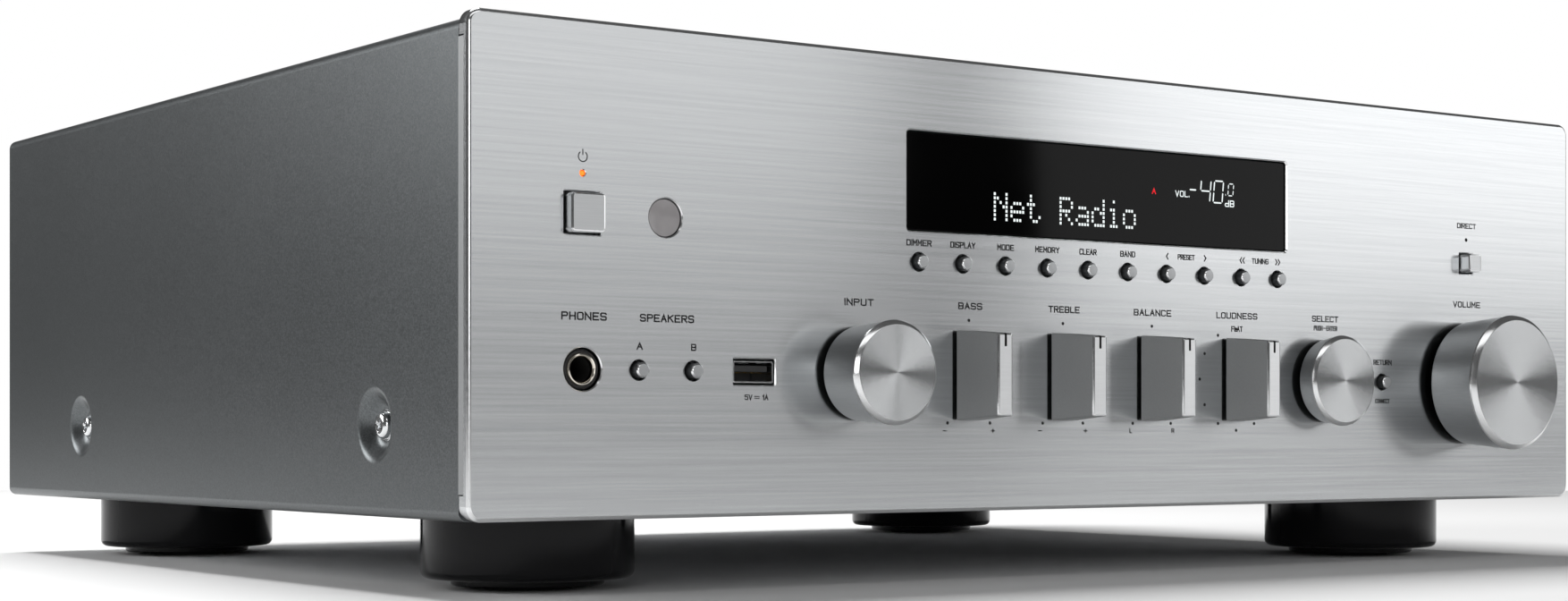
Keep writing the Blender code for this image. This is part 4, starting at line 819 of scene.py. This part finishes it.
smoked = grained("smoked_glass", (20.0, 20.0, 40.0), 3.0, ((0.0003, 0.0003, 0.0004), (0.0007, 0.0007, 0.0008)),
                 (0.03, 0.07), IOR=1.45, Specular_IOR_Level=0.12)
pane_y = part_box("display_window")[0].y
bm = bmesh.new()
plate(bm, high.x - low.x - 0.0050, high.z - low.z - 0.0050, 0.0009, pane_y, pane_y + 0.0030, 0.0, glass.z, 0.0002)
piece("display_glass", bm, [smoked], replaced=["display_window"])
dress(["display_module"], smoked)

glow = Finish("display_glow", Roughness=0.5, Emission_Strength=1.0)
phosphor = glow.place.noise((2500.0, 2500.0, 2500.0), 1.0)
glow.feed("Base Color", phosphor.blend((0.10, 0.11, 0.11), (0.12, 0.13, 0.13)))
glow.feed("Emission Color", phosphor.blend((0.80, 0.88, 0.88), (0.95, 1.0, 1.0)))
letters = {
    "N": ("10001", "11001", "10101", "10011", "10001", "10001", "10001"),
    "e": ("00000", "00000", "01110", "10001", "11111", "10000", "01110"),
    "t": ("01000", "01000", "11100", "01000", "01000", "01001", "00110"),
    "R": ("11110", "10001", "10001", "11110", "10100", "10010", "10001"),
    "a": ("00000", "00000", "01110", "00001", "01111", "10001", "01111"),
    "d": ("00001", "00001", "01101", "10011", "10001", "10001", "01111"),
    "i": ("00100", "00000", "01100", "00100", "00100", "00100", "01110"),
    "o": ("00000", "00000", "01110", "10001", "10001", "10001", "01110"),
}
dots = []
for column, letter in enumerate("Net Radio"):
    for row, bits in enumerate(letters.get(letter, ())):
        dots += [(-0.0438 + column * 0.00638 + i * 0.00112, pane_y, panel_low.z + 0.0923 - row * 0.00123)
                 for i, bit in enumerate(bits) if bit == "1"]
cell = bmesh.new()
bmesh.ops.create_cube(cell, size=1.0, matrix=Matrix.Diagonal((0.00074, 0.00006, 0.00082, 1.0)))
piece("display_characters", repeated(cell, dots, glow), [glow])

bm = bmesh.new()


def segment(x0, z0, x1, z1, thick=0.00034):
    """One slanted bar of a figure, in millimetres from the middle of the front's lower edge."""
    start = Vector((x0 + 0.10 * (z0 - 96.0), 0, z0)) / 1000
    end = Vector((x1 + 0.10 * (z1 - 96.0), 0, z1)) / 1000
    along = (end - start).normalized()
    cross = Vector((-along.z, 0, along.x)) * thick
    corners = [start + along * 0.0002, start + along * 0.0005 + cross, end - along * 0.0005 + cross,
               end - along * 0.0002, end - along * 0.0005 - cross, start + along * 0.0005 - cross]
    base = Vector((0, pane_y, panel_low.z))
    rings = [[bm.verts.new(base + corner + Vector((0, dy, 0))) for corner in corners]
             for dy in (-0.00003, 0.00003)]
    for i in range(6):
        j = (i + 1) % 6
        bm.faces.new((rings[0][i], rings[0][j], rings[1][j], rings[1][i]))
    for ring in rings:
        bm.faces.new(ring)


def figure(strokes, x, z, wide, tall, thick):
    """A seven-segment figure: strokes name its lit bars, from a (top) round to g (middle)."""
    bars = {"a": (0, 1, 1, 1), "b": (1, 0.5, 1, 1), "c": (1, 0, 1, 0.5), "d": (0, 0, 1, 0),
            "e": (0, 0, 0, 0.5), "f": (0, 0.5, 0, 1), "g": (0, 0.5, 1, 0.5)}
    for stroke in strokes:
        x0, z0, x1, z1 = bars[stroke]
        segment(x + x0 * wide, z + z0 * tall, x + x1 * wide, z + z1 * tall, thick)


segment(34.4, 97.8, 37.7, 97.8, 0.00024)
figure("bcfg", 39.4, 94.3, 4.2, 6.8, 0.00022)
figure("abcdef", 45.1, 94.3, 3.9, 6.8, 0.00022)
figure("abcdef", 51.3, 96.8, 2.2, 3.7, 0.00016)
segment(50.0, 97.0, 50.6, 97.0, 0.00022)
piece("display_level_figures", bm, [glow])


pen_strokes = {
    "A": "003860 1353", "B": "00085867655404 5463615000", "C": "6758180701105061", "D": "00085867615000",
    "E": "68080060 0454", "F": "680800 0454", "G": "67581807011050616434", "H": "0008 6068 0464", "I": "0008",
    "K": "0008 6804 2560", "L": "080050", "M": "0008336860", "N": "00086068", "O": "105061675818070110",
    "P": "00085867655404", "R": "00085867655404 3460", "S": "675818070514546361501001", "T": "0868 3830",
    "U": "080110506168", "V": "083068", "W": "0820466088", "Y": "083468 3430", "d": "68601001031464",
    "0": "105061675818070110", "1": "062820", "2": "07185867650060", "3": "07185867655424 54636150 1001 1050",
    "5": "680805556461501001", "-": "0464", "+": "0464 3137", "=": "0262 0666", "<": "380430", ">": "083400",
    ".": "0001",
}


def ribbon(bm, points, half, front, back):
    """A flat band of one width along a line of (x, z) points, with mitred corners and square ends."""
    closed = points[0] == points[-1]
    points = points[:-1] if closed else points
    last, sections = len(points) - 1, []
    for i, point in enumerate(points):
        before = point - points[i - 1] if closed or i else points[1] - point
        after = points[(i + 1) % len(points)] - point if closed or i < last else before
        before, after = before.normalized(), after.normalized()
        along = (before + after).normalized()
        cross = Vector((-along.y, along.x)) * half / max(along.dot(before), 0.4)
        if not closed and i in (0, last):
            point = point + along * half * (1 if i else -1)
        left, right = point + cross, point - cross
        sections.append([bm.verts.new(corner) for corner in (
            (left.x, front, left.y), (right.x, front, right.y), (right.x, back, right.y), (left.x, back, left.y))])
    for near, far in zip(sections, sections[1:] + sections[:closed]):
        for k in range(4):
            bm.faces.new((near[k], near[(k + 1) % 4], far[(k + 1) % 4], far[k]))
    if not closed:
        bm.faces.new(sections[0])
        bm.faces.new(sections[-1])


def lettering(bm, text, x, z, wide, tall, y, bold=0.15, side=1, gap=2.8):
    """Words drawn with one pen: their middle at x and z, as wide and tall as given. Side -1 faces the rear."""
    at, lines, stroke = 0.0, [], tall * bold
    for letter in text:
        drawn = [[(at + int(way[i]), int(way[i + 1])) for i in range(0, len(way), 2)]
                 for way in pen_strokes.get(letter, "").split()]
        lines += drawn
        at = max([px for line in drawn for px, _ in line] + [at]) + gap
    span = at - gap
    for line in lines:
        points = [Vector((x + side * (px / span - 0.5) * (wide - stroke), z + (pz / 8 - 0.5) * (tall - stroke)))
                  for px, pz in line]
        ribbon(bm, points, stroke / 2, y - 0.00004, y + 0.00001)


base_z = panel_low.z
bm = bmesh.new()
lettering(bm, "VOL.", 0.0317, base_z + 0.0963, 0.0060, 0.0019, pane_y, 0.15)
lettering(bm, "dB", 0.0521, base_z + 0.0943, 0.0041, 0.0021, pane_y, 0.16)
piece("display_words", bm, [glow])
red_glow = Finish("display_red_glow", Roughness=0.5, Emission_Strength=0.9)
red_glow.feed("Base Color", red_glow.place.noise((2500.0,) * 3, 1.0).blend((0.1, 0.0, 0.0), (0.14, 0.0, 0.0)))
red_speck = red_glow.place.noise((2500.0,) * 3, 1.0)
red_glow.feed("Emission Color", red_speck.blend((0.75, 0.0, 0.01), (0.9, 0.01, 0.02)))
bm = bmesh.new()
lettering(bm, "A", 0.0197, base_z + 0.0965, 0.0017, 0.0018, pane_y, 0.2)
piece("display_red_mark", bm, [red_glow])


# Standby lamp and remote sensor: an amber light pipe that ends flush in a tiny hole, and a round smoked
# lens, slightly dished, behind its own hole in the front.

amber = Finish("amber_lamp", Roughness=0.3, Emission_Strength=1.6)
lamp_grain = amber.place.noise((4000.0, 4000.0, 4000.0), 1.0)
amber.feed("Base Color", lamp_grain.blend((0.8, 0.15, 0.01), (0.9, 0.22, 0.02)))
amber.feed("Emission Color", lamp_grain.blend((1.0, 0.13, 0.01), (1.0, 0.22, 0.02)))
low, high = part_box("power_lamp")
lamp_x, lamp_z = (low.x + high.x) / 2, (low.z + high.z) / 2
bm = bmesh.new()
lathe(bm, [(0.0, low.y - 0.0003, 0), (0.00035, low.y - 0.00022, 0), (0.00062, low.y + 0.0001, 0),
           (0.00062, high.y, 0), (0.0, high.y, 0)], (lamp_x, 0, lamp_z), sides=24)
piece("standby_lamp", bm, [amber], replaced=["power_lamp"])

lens = grained("smoked_lens", 260.0, 2.0, ((0.30, 0.285, 0.29), (0.38, 0.36, 0.365)),
               (0.3, 0.42), IOR=1.5, Coat_Weight=0.6, Coat_Roughness=0.12)
low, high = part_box("sensor_window")
lens_x, lens_z = (low.x + high.x) / 2, (low.z + high.z) / 2
bm = bmesh.new()
profile = [(0.0, low.y + 0.0004, 0)]
profile += [(0.0049 * i / 10, low.y + 0.0004 * (1 - (i / 10) ** 2), 0) for i in range(1, 11)]
profile += [(0.0050, low.y + 0.0002, 0), (0.0050, face + 0.0025, 0), (0.0060, face + 0.0026, 0),
            (0.0060, high.y, 0), (0.0, high.y, 0)]
lathe(bm, profile, (lens_x, 0, lens_z), sides=64)
piece("remote_lens", bm, [lens], replaced=["sensor_window"])


# Push buttons: turned aluminium pins with a faced end and a broken edge for the functions, and two machined
# square caps for power and direct. Each slides in its hole and is sprung by the switch behind it.

turned = grained("turned_button", 2600.0, 2.0, ((0.40, 0.41, 0.42), (0.52, 0.53, 0.54)),
                 (0.26, 0.40), (0.1, 0.00005), Metallic=1.0)
# Painted shade: the round pins' sides are coloured near-black, far darker than their turned faces, to stand in for
# the dark gap round each pin in its hole.
painted_shade_pin_side = grained("painted_shade_pin_side", (1800.0, 200.0, 1800.0), 2.0, ((0.05, 0.052, 0.054), (0.10, 0.104, 0.107)),
                   (0.35, 0.5), Metallic=0.8)
for name in round_buttons:
    low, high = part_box(f"{name}_button")
    x, z = (low.x + high.x) / 2, (low.z + high.z) / 2
    bm = bmesh.new()
    profile = [(0.0, low.y, 0), (0.00160, low.y + 0.00002, 1), (0.00172, low.y + 0.0001, 1)]
    profile += [(0.00202, low.y + 0.00045, 2), (0.0021, low.y + 0.0007, 2), (0.0021, face + 0.0058, 2),
                (0.0032, face + 0.0058, 2), (0.0032, face + 0.0070, 2), (0.0014, face + 0.0070, 2),
                (0.0014, high.y, 2), (0.0, high.y, 2)]
    lathe(bm, profile, (x, 0, z), sides=48)
    piece(f"{name}_pin", bm, [turned, bright_edge, painted_shade_pin_side], body=f"{name}_button",
          replaced=[f"{name}_button"])

for name in ("power", "direct"):
    low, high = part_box(f"{name}_button")
    x, z, collar = (low.x + high.x) / 2, (low.z + high.z) / 2, high.x - low.x
    size = collar - 0.002
    bm = bmesh.new()
    rings = [(outline(size - 0.0010, size - 0.0010, 0.0006), low.y, x, z),
             (outline(size - 0.0004, size - 0.0004, 0.0008), low.y + 0.0001, x, z),
             (outline(size, size, 0.0010), low.y + 0.0005, x, z),
             (outline(size, size, 0.0010), face + 0.0058, x, z),
             (outline(collar, collar, 0.0010), face + 0.0058, x, z),
             (outline(collar, collar, 0.0010), face + 0.0070, x, z),
             (outline(0.0028, 0.0028, 0.0007), face + 0.0070, x, z),
             (outline(0.0028, 0.0028, 0.0007), high.y, x, z)]
    cap = Finish(f"{name}_cap_face", Metallic=1.0, Anisotropic=0.7, Anisotropic_Rotation=0.25)
    cap_lines = cap.place.noise((60.0, 60.0, 3400.0), 3.0, 0.6)
    cap.feed("Base Color", cap_lines.blend((0.58, 0.595, 0.605), (0.70, 0.71, 0.72)))
    cap.feed("Roughness", cap_lines.within(0.28, 0.38))
    loft(bm, rings, [0, 1, 1, 0, 0, 0, 0, 0, 0])
    piece(f"{name}_cap", bm, [cap, bright_edge], body=f"{name}_button",
          replaced=[f"{name}_button"])


# Rotary knobs: solid aluminium, turned with a bright bevel between the spun face and the satin side, and
# hollow behind. They push onto steel shafts, and a dark gap is left between them and the front.

dress([f"{name}_shaft" for name in
       ("input", "select", "volume", "bass", "treble", "balance", "loudness")], zinc)
satin = grained("satin_knob_side", (2200.0, 14.0, 2200.0), 2.0, ((0.38, 0.392, 0.40), (0.48, 0.492, 0.50)),
                (0.30, 0.42), (0.06, 0.00005), Metallic=1.0)
black_well = Finish("knob_underside", Roughness=0.8)
black_well.feed("Base Color", black_well.place.noise((300.0,) * 3).blend((0.01, 0.01, 0.01), (0.02, 0.02, 0.02)))
for name, body, bevel in (("input", "input_control", 0.0013), ("select", "select_knob", 0.0012),
                          ("volume", "volume_control", 0.0017)):
    low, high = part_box(f"{name}_knob")
    x, z, lip = (low.x + high.x) / 2, (low.z + high.z) / 2, (high.z - low.z) / 2
    rear_lip = {"input": 0.0131, "select": 0.0133, "volume": 0.0205}[name]
    floor = low.y + 0.0037
    spun = Finish(f"{name}_spun_face", Metallic=1.0)
    turning = facing(spun, (x, 0.0, z), (0.50, 0.10))
    spun.feed("Base Color", turning.blend((0.44, 0.45, 0.46), (0.57, 0.58, 0.585)))
    spun.feed("Roughness", turning.within(0.12, 0.20))
    bm = bmesh.new()
    lathe(bm, [
        (0.0, low.y, 0), (lip - bevel, low.y, 1), (lip - bevel * 0.9, low.y + bevel * 0.05, 1),
        (lip - bevel * 0.12, low.y + bevel * 0.75, 1), (lip, low.y + bevel, 2),
        (lip - 0.00012, low.y + bevel * 1.3, 2), (rear_lip + 0.0002, high.y - 0.0006, 2),
        (rear_lip, high.y - 0.0002, 3), (rear_lip - 0.0003, high.y, 3), (rear_lip - 0.0024, high.y, 3),
        (rear_lip - 0.0024, floor, 3), (0.0055, floor, 3), (0.0055, high.y, 3), (0.0033, high.y, 3),
        (0.0033, floor, 3), (0.0, floor, 3),
    ], (x, 0, z), sides=160)
    piece(f"{name}_turned_knob", bm, [spun, bright_edge, satin, black_well], body=body,
          replaced=[f"{name}_knob"], crease=20)


# Tone knobs: four milled wedges that narrow towards the front, with bright edges, satin sides and a black
# index groove in the top of the nose. Each turns with its own steel shaft.

nose = Finish("wedge_nose", Metallic=1.0, Anisotropic=0.6, Anisotropic_Rotation=0.25)
nose_lines = nose.place.noise((60.0, 60.0, 3400.0), 3.0, 0.6)
nose.feed("Base Color", nose_lines.blend((0.76, 0.77, 0.78), (0.86, 0.87, 0.88)))
nose.feed("Roughness", nose_lines.within(0.28, 0.36))
flank = grained("wedge_flank", 2200.0, 2.0, ((0.40, 0.41, 0.415), (0.50, 0.51, 0.515)),
                (0.62, 0.76), (0.05, 0.00005), Metallic=0.7)
groove_paint = Finish("index_paint", Roughness=0.6)
groove_paint.feed("Base Color", groove_paint.place.noise((500.0,) * 3).blend((0.008,) * 3, (0.02,) * 3))
for name in ("bass", "treble", "balance", "loudness"):
    low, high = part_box(f"{name}_knob")
    x, z = (low.x + high.x) / 2, (low.z + high.z) / 2
    tall, deep = high.z - low.z, high.y - low.y
    front_wide, front_tall, rear_wide = 0.0054, tall - 0.0022, high.x - low.x
    bm = bmesh.new()
    c = 0.00055
    loft(bm, [(outline(front_wide - 2 * c, front_tall - 2 * c, 0.0003, 3), low.y, x, z),
              (outline(front_wide - c * 0.7, front_tall - c * 0.7, 0.0004, 3), low.y + 0.00016, x, z),
              (outline(front_wide, front_tall, 0.0005, 3), low.y + c, x, z),
              (outline(rear_wide, tall, 0.0005, 3), high.y, x, z)], [0, 1, 1, 2, 3])
    slit = bmesh.new()
    top = z + front_tall / 2
    bmesh.ops.create_cube(slit, size=1.0, matrix=Matrix.Translation((x, low.y, top - 0.0012))
                          @ Matrix.Diagonal((0.00085, 0.0024, 0.0052, 1.0)))
    for made in slit.faces:
        made.material_index = 4
    bore = bmesh.new()
    lathe(bore, [(0.0, high.y + 0.001, 3), (0.0033, high.y + 0.001, 3), (0.0033, face - 0.012, 3),
                 (0.0, face - 0.012, 3)], (x, 0, z), sides=32)
    finishes = [nose, bright_edge, flank, black_well, groove_paint]
    milled = carved(bm, [("DIFFERENCE", slit), ("DIFFERENCE", bore)], finishes)
    piece(f"{name}_wedge", milled, finishes, body=f"{name}_control",
          replaced=[f"{name}_knob"], crease=18, flat=2)


# Headphone jack: a black moulded collar round a plated brass ring, with a dark bore for a 6.35 mm plug. It
# is held through the front from behind.

low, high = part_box("phones_jack")
jack_x, jack_z = (low.x + high.x) / 2, (low.z + high.z) / 2
dark = Finish("dark_bore", Roughness=0.7)
dark.feed("Base Color", dark.place.noise((300.0,) * 3).blend((0.004, 0.004, 0.004), (0.01, 0.009, 0.008)))
brass_ring = Finish("plated_ring", Metallic=1.0)
ring_polish = brass_ring.place.noise((600.0,) * 3, 2.0)
brass_ring.feed("Base Color", ring_polish.blend((0.66, 0.62, 0.55), (0.84, 0.80, 0.72)))
brass_ring.feed("Roughness", ring_polish.within(0.10, 0.2))
bm = bmesh.new()
y = face
lathe(bm, [
    (0.0032, y + 0.0295, 2), (0.0032, y + 0.0018, 1), (0.0033, y + 0.0009, 1), (0.0035, y + 0.0005, 1),
    (0.0038, y + 0.00028, 1), (0.0041, y + 0.0004, 1), (0.0043, y + 0.0007, 1), (0.0044, y + 0.0012, 0),
    (0.0047, y + 0.0012, 0), (0.0050, y + 0.0008, 0), (0.0053, y + 0.0012, 0), (0.0053, high.y, 0),
], (jack_x, 0, jack_z), sides=96)
piece("headphone_jack", bm, [moulded, brass_ring, dark], replaced=["phones_jack"])


# USB port: a folded shell of plated steel with a black tongue and four gold contacts, set in a rectangular
# hole. Two springs are cut in its upper and lower walls.

low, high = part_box("usb_port")
shell_w, shell_h = high.x - low.x, high.z - low.z
bm, hollow = bmesh.new(), bmesh.new()
plate(bm, shell_w, shell_h, 0.0007, low.y, high.y, usb.x, usb.z, 0.0001)
plate(hollow, shell_w - 0.0008, shell_h - 0.0008, 0.0004, low.y - 0.002, high.y - 0.0008, usb.x, usb.z, 0.0001)
piece("usb_shell", carved(bm, [("DIFFERENCE", hollow)], [chrome]), [chrome],
      replaced=["usb_port"])
bm = bmesh.new()
plate(bm, 0.0110, 0.0018, 0.0002, low.y + 0.0012, high.y - 0.0006, usb.x, usb.z + 0.0009, 0.0002)
plate(bm, shell_w - 0.0009, shell_h - 0.0009, 0.0004, high.y - 0.0030, high.y - 0.0009, usb.x, usb.z, 0.0002)
piece("usb_tongue", bm, [moulded], crease=40)
bm = bmesh.new()
for i in range(4):
    x = usb.x + (i - 1.5) * 0.0024
    plate(bm, 0.0012, 0.0003, 0.0001, low.y + 0.0020, high.y - 0.004, x, usb.z - 0.0001, 0.00005)
piece("usb_contacts", bm, [gold])
bm = bmesh.new()
for side in (-1, 1):
    for at in (-0.0030, 0.0030):
        z = usb.z + side * (shell_h / 2 - 0.00055)
        plate(bm, 0.0030, 0.00035, 0.0001, low.y + 0.0004, low.y + 0.0050, usb.x + at, z, 0.0001)
piece("usb_springs", bm, [chrome])


# Printed legends: near-black screen printing on the anodised face, baked hard, with small printed dots for
# the ends and steps of each scale. The rear panel has the same printing in white.

ink = Finish("printed_ink", Specular_IOR_Level=0.3)
soak = ink.place.noise((3000.0,) * 3, 2.0)
ink.feed("Base Color", soak.blend((0.004, 0.0045, 0.005), (0.010, 0.0105, 0.011)))
ink.feed("Roughness", soak.within(0.5, 0.65))

legends = [
    ("INPUT", -94.0, 59.2, 10.2, 2.0), ("BASS", -53.7, 59.2, 8.9, 2.0), ("TREBLE", -17.6, 59.2, 12.3, 2.0),
    ("BALANCE", 18.4, 59.2, 15.6, 2.0), ("LOUDNESS", 54.6, 59.2, 18.0, 2.0), ("FLAT", 54.6, 55.1, 5.0, 1.75),
    ("SELECT", 94.6, 59.2, 12.2, 2.0), ("PUSH - ENTER", 94.8, 56.2, 10.9, 1.6),
    ("RETURN", 121.9, 45.6, 8.7, 1.7), ("CONNECT", 121.8, 32.9, 6.9, 1.4),
    ("VOLUME", 163.9, 65.8, 13.8, 2.0), ("DIRECT", 163.8, 92.4, 9.6, 1.8),
    ("PHONES", -183.4, 53.0, 13.7, 2.15), ("SPEAKERS", -157.8, 53.0, 17.0, 2.1),
    ("A", -166.4, 45.5, 1.9, 1.9), ("B", -149.4, 45.5, 1.6, 1.9), ("5V", -131.6, 32.3, 2.5, 1.5),
    ("=", -128.8, 32.3, 1.7, 1.2), ("1A", -126.0, 32.3, 1.9, 1.5), ("-30dB", 67.3, 49.9, 6.4, 1.5),
    ("PRESET", 32.6, 76.7, 7.2, 1.7), ("TUNING", 64.9, 76.7, 7.4, 1.7),
    ("L", 9.3, 23.2, 1.0, 1.5), ("R", 26.9, 23.2, 1.2, 1.5),
]
legends += [(text, (i - 4.5) * 16.13, 76.7, wide, 1.8) for i, (text, wide) in enumerate((
    ("DIMMER", 9.1), ("DISPLAY", 9.3), ("MODE", 6.4), ("MEMORY", 9.5), ("CLEAR", 6.9), ("BAND", 6.1)))]
legends += [(text, x, 76.7, 1.0, 2.0) for text, x in (
    ("<", 24.5), (">", 40.7), ("<", 56.3), ("<", 57.5), (">", 72.2), (">", 73.4))]
for x in (-54.2, -18.1):
    legends += [("-", x - 9.0, 23.2, 1.4, 1.5), ("+", x + 9.0, 23.2, 1.5, 1.5)]
bm = bmesh.new()
for text, x, z, wide, tall in legends:
    lettering(bm, text, x / 1000, base_z + z / 1000, wide / 1000, tall / 1000, face - 0.00002, 0.18)
piece("front_legends", bm, [ink])

marks = Growth("scale_marks", {"Count": "Int", "Start": "Float", "Step": "Float", "Ring": "Float",
                               "Dot": "Float", "Centre": "Vector", "Finish": "Material"})
index = marks.node("GeometryNodeInputIndex")
angle = marks.node("ShaderNodeMath", {"operation": "MULTIPLY_ADD"}, {0: index, 1: "Step", 2: "Start"})
sine = marks.node("ShaderNodeMath", {"operation": "SINE"}, {0: angle})
cosine = marks.node("ShaderNodeMath", {"operation": "COSINE"}, {0: angle})
across = marks.node("ShaderNodeMath", {"operation": "MULTIPLY"}, {0: sine, 1: "Ring"})
upward = marks.node("ShaderNodeMath", {"operation": "MULTIPLY"}, {0: cosine, 1: "Ring"})
offset = marks.node("ShaderNodeCombineXYZ", None, {"X": across, "Z": upward})
spot = marks.node("ShaderNodeVectorMath", {"operation": "ADD"}, {0: offset, 1: "Centre"})
scatter = marks.node("GeometryNodePoints", None, {"Count": "Count", "Position": spot})
dot = marks.node("GeometryNodeMeshCylinder", None, {"Vertices": 20, "Radius": "Dot", "Depth": 0.00004})
marks.finish(marks.node("GeometryNodeInstanceOnPoints", None,
                        {"Points": scatter, "Instance": dot, "Rotation": (math.pi / 2, 0.0, 0.0)}))
dial_z = (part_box("bass_knob")[0].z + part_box("bass_knob")[1].z) / 2
for name, count, start, step in (("bass", 3, -150, 150), ("treble", 3, -150, 150), ("balance", 3, -150, 150),
                                 ("loudness", 11, -300, 30)):
    low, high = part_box(f"{name}_knob")
    dots_mesh = marks.mesh(Count=count, Start=math.radians(start), Step=math.radians(step), Ring=0.01587,
                           Dot=0.00048, Centre=((low.x + high.x) / 2, face - 0.00002, dial_z),
                           Finish=ink.material)
    piece(f"{name}_scale_marks", dots_mesh, [ink])
direct_mark = marks.mesh(Count=1, Start=0.0, Step=0.0, Ring=0.0, Dot=0.00062,
                         Centre=(0.1636, face - 0.00002, base_z + 0.0877), Finish=ink.material)
piece("direct_mark", direct_mark, [ink])

bm = bmesh.new()
symbol = (lamp_x, base_z + 0.0944)
first, last, inner, outer = 35, 325, 0.00120, 0.00148
rings = []
for i in range(33):
    turn = math.radians(first + (last - first) * i / 32)
    rings.append([bm.verts.new((symbol[0] + r * math.sin(turn), y, symbol[1] + r * math.cos(turn)))
                  for r, y in ((inner, face - 0.00003), (outer, face - 0.00003), (outer, face), (inner, face))])
for near, far in zip(rings, rings[1:]):
    for k in range(4):
        bm.faces.new((near[k], near[(k + 1) % 4], far[(k + 1) % 4], far[k]))
bm.faces.new(rings[0])
bm.faces.new(rings[-1])
plate(bm, 0.00028, 0.0016, 0.0001, face - 0.00003, face, symbol[0], symbol[1] + 0.00115, 0.00001)
piece("standby_symbol", bm, [ink], flat=2)

white_ink = Finish("white_printed_ink")
white_soak = white_ink.place.noise((3000.0,) * 3, 2.0)
white_ink.feed("Base Color", white_soak.blend((0.62, 0.62, 0.60), (0.72, 0.72, 0.70)))
white_ink.feed("Roughness", white_soak.within(0.5, 0.65))

bm = bmesh.new()
for text, x, z, wide, tall in (
    ("SPEAKERS", plate_x, row_z + 0.0335, 0.019, 0.0022),
    ("LINE 1", jacks_x - 0.0475, jacks_z + 0.0205, 0.0085, 0.0018),
    ("LINE 2", jacks_x - 0.0285, jacks_z + 0.0205, 0.009, 0.0018),
    ("LINE 3", jacks_x - 0.0095, jacks_z + 0.0205, 0.009, 0.0018),
    ("CD", jacks_x + 0.0095, jacks_z + 0.0205, 0.0035, 0.0018),
    ("PHONO", jacks_x + 0.0285, jacks_z + 0.0205, 0.010, 0.0018),
    ("PRE OUT", jacks_x + 0.0475, jacks_z + 0.0205, 0.012, 0.0018),
    ("AC IN", inlet.x, inlet.z + 0.0145, 0.0085, 0.0022), ("NETWORK", port.x, port.z + 0.0115, 0.014, 0.0018),
    ("WIRELESS", -0.150, 0.1215, 0.017, 0.0019), ("WIRELESS", 0.150, 0.1215, 0.017, 0.0019),
):
    lettering(bm, text, x, z, wide, tall, rear + 0.00003, side=-1)
piece("rear_legends", bm, [white_ink])


# The stage: a pale matt floor and six soft studio lights, from the right, the front, above, the left, the
# front left and over the front. The camera stands at the left of the front, just above the floor.

floor_finish = grained("pale_floor", 3.0, 2.0, ((0.86, 0.86, 0.86), (0.89, 0.89, 0.89)),
                       (0.25, 0.3), Specular_IOR_Level=0.0)
bm = bmesh.new()
bmesh.ops.create_circle(bm, cap_ends=True, segments=128, radius=1.1)
floor_mesh = bpy.data.meshes.new("floor")
bm.to_mesh(floor_mesh)
bm.free()
floor_mesh.materials.append(floor_finish.material)
floor_object = bpy.data.objects.new("floor", floor_mesh)
bpy.context.scene.collection.objects.link(floor_object)


def softbox(name, place, target, size, power):
    light = bpy.data.lights.new(name, "AREA")
    light.shape, light.size, light.size_y = "RECTANGLE", size[0], size[1]
    light.energy = power
    lamp = bpy.data.objects.new(name, light)
    lamp.location = place
    lamp.visible_camera = False
    lamp.rotation_euler = (Vector(target) - Vector(place)).to_track_quat("-Z", "Y").to_euler()
    bpy.context.scene.collection.objects.link(lamp)


softbox("key", (1.98, -1.40, 0.62), (0.0, -0.1, 0.07), (1.5, 0.9), 6.6)
softbox("front", (0.95, -2.25, 0.68), (0.0, -0.1, 0.07), (1.0, 0.9), 2.8)
softbox("above", (-0.15, 0.55, 1.6), (-0.1, 0.0, 0.0), (1.0, 0.8), 31.0)
softbox("left", (-1.75, 1.35, 0.85), (0.0, 0.0, 0.07), (1.1, 0.9), 19.0)
softbox("edges", (-1.7, -1.9, 0.52), (0.0, -0.1, 0.07), (0.9, 0.9), 6.0)
softbox("over", (-0.3, -1.3, 1.35), (0.0, -0.15, 0.07), (1.9, 0.5), 3.5)

world = bpy.data.worlds.new("studio")
world.use_nodes = True
bpy.context.scene.world = world
background = world.node_tree.nodes["Background"]
sky = Wire(world.node_tree)
seen = sky.node("LightPath", output=0)
backdrop = Wire(world.node_tree, background.outputs[0])
background.inputs[0].default_value = (1.0, 1.0, 1.0, 1.0)
background.inputs[1].default_value = 0.08
white_back = sky.node("Background", None, {0: (1.0, 1.0, 1.0, 1.0), 1: 1.0})
mixed = sky.node("MixShader", None, {0: seen, 1: backdrop, 2: white_back})
world.node_tree.links.new(mixed.socket, world.node_tree.nodes["World Output"].inputs[0])
bpy.context.scene.view_settings.view_transform = "Standard"

camera = bpy.data.cameras.new("camera")
camera.lens, camera.sensor_width = 58.44, 36.0
camera.shift_x, camera.shift_y = -0.0009, 0.0823
camera.clip_start = 0.01
viewer = bpy.data.objects.new("camera", camera)
viewer.location = (-0.52395, face - 0.56835, base_z + 0.02354)
viewer.rotation_euler = (math.pi / 2, 0.0, math.radians(-35.45))
bpy.context.scene.collection.objects.link(viewer)
bpy.context.scene.camera = viewer
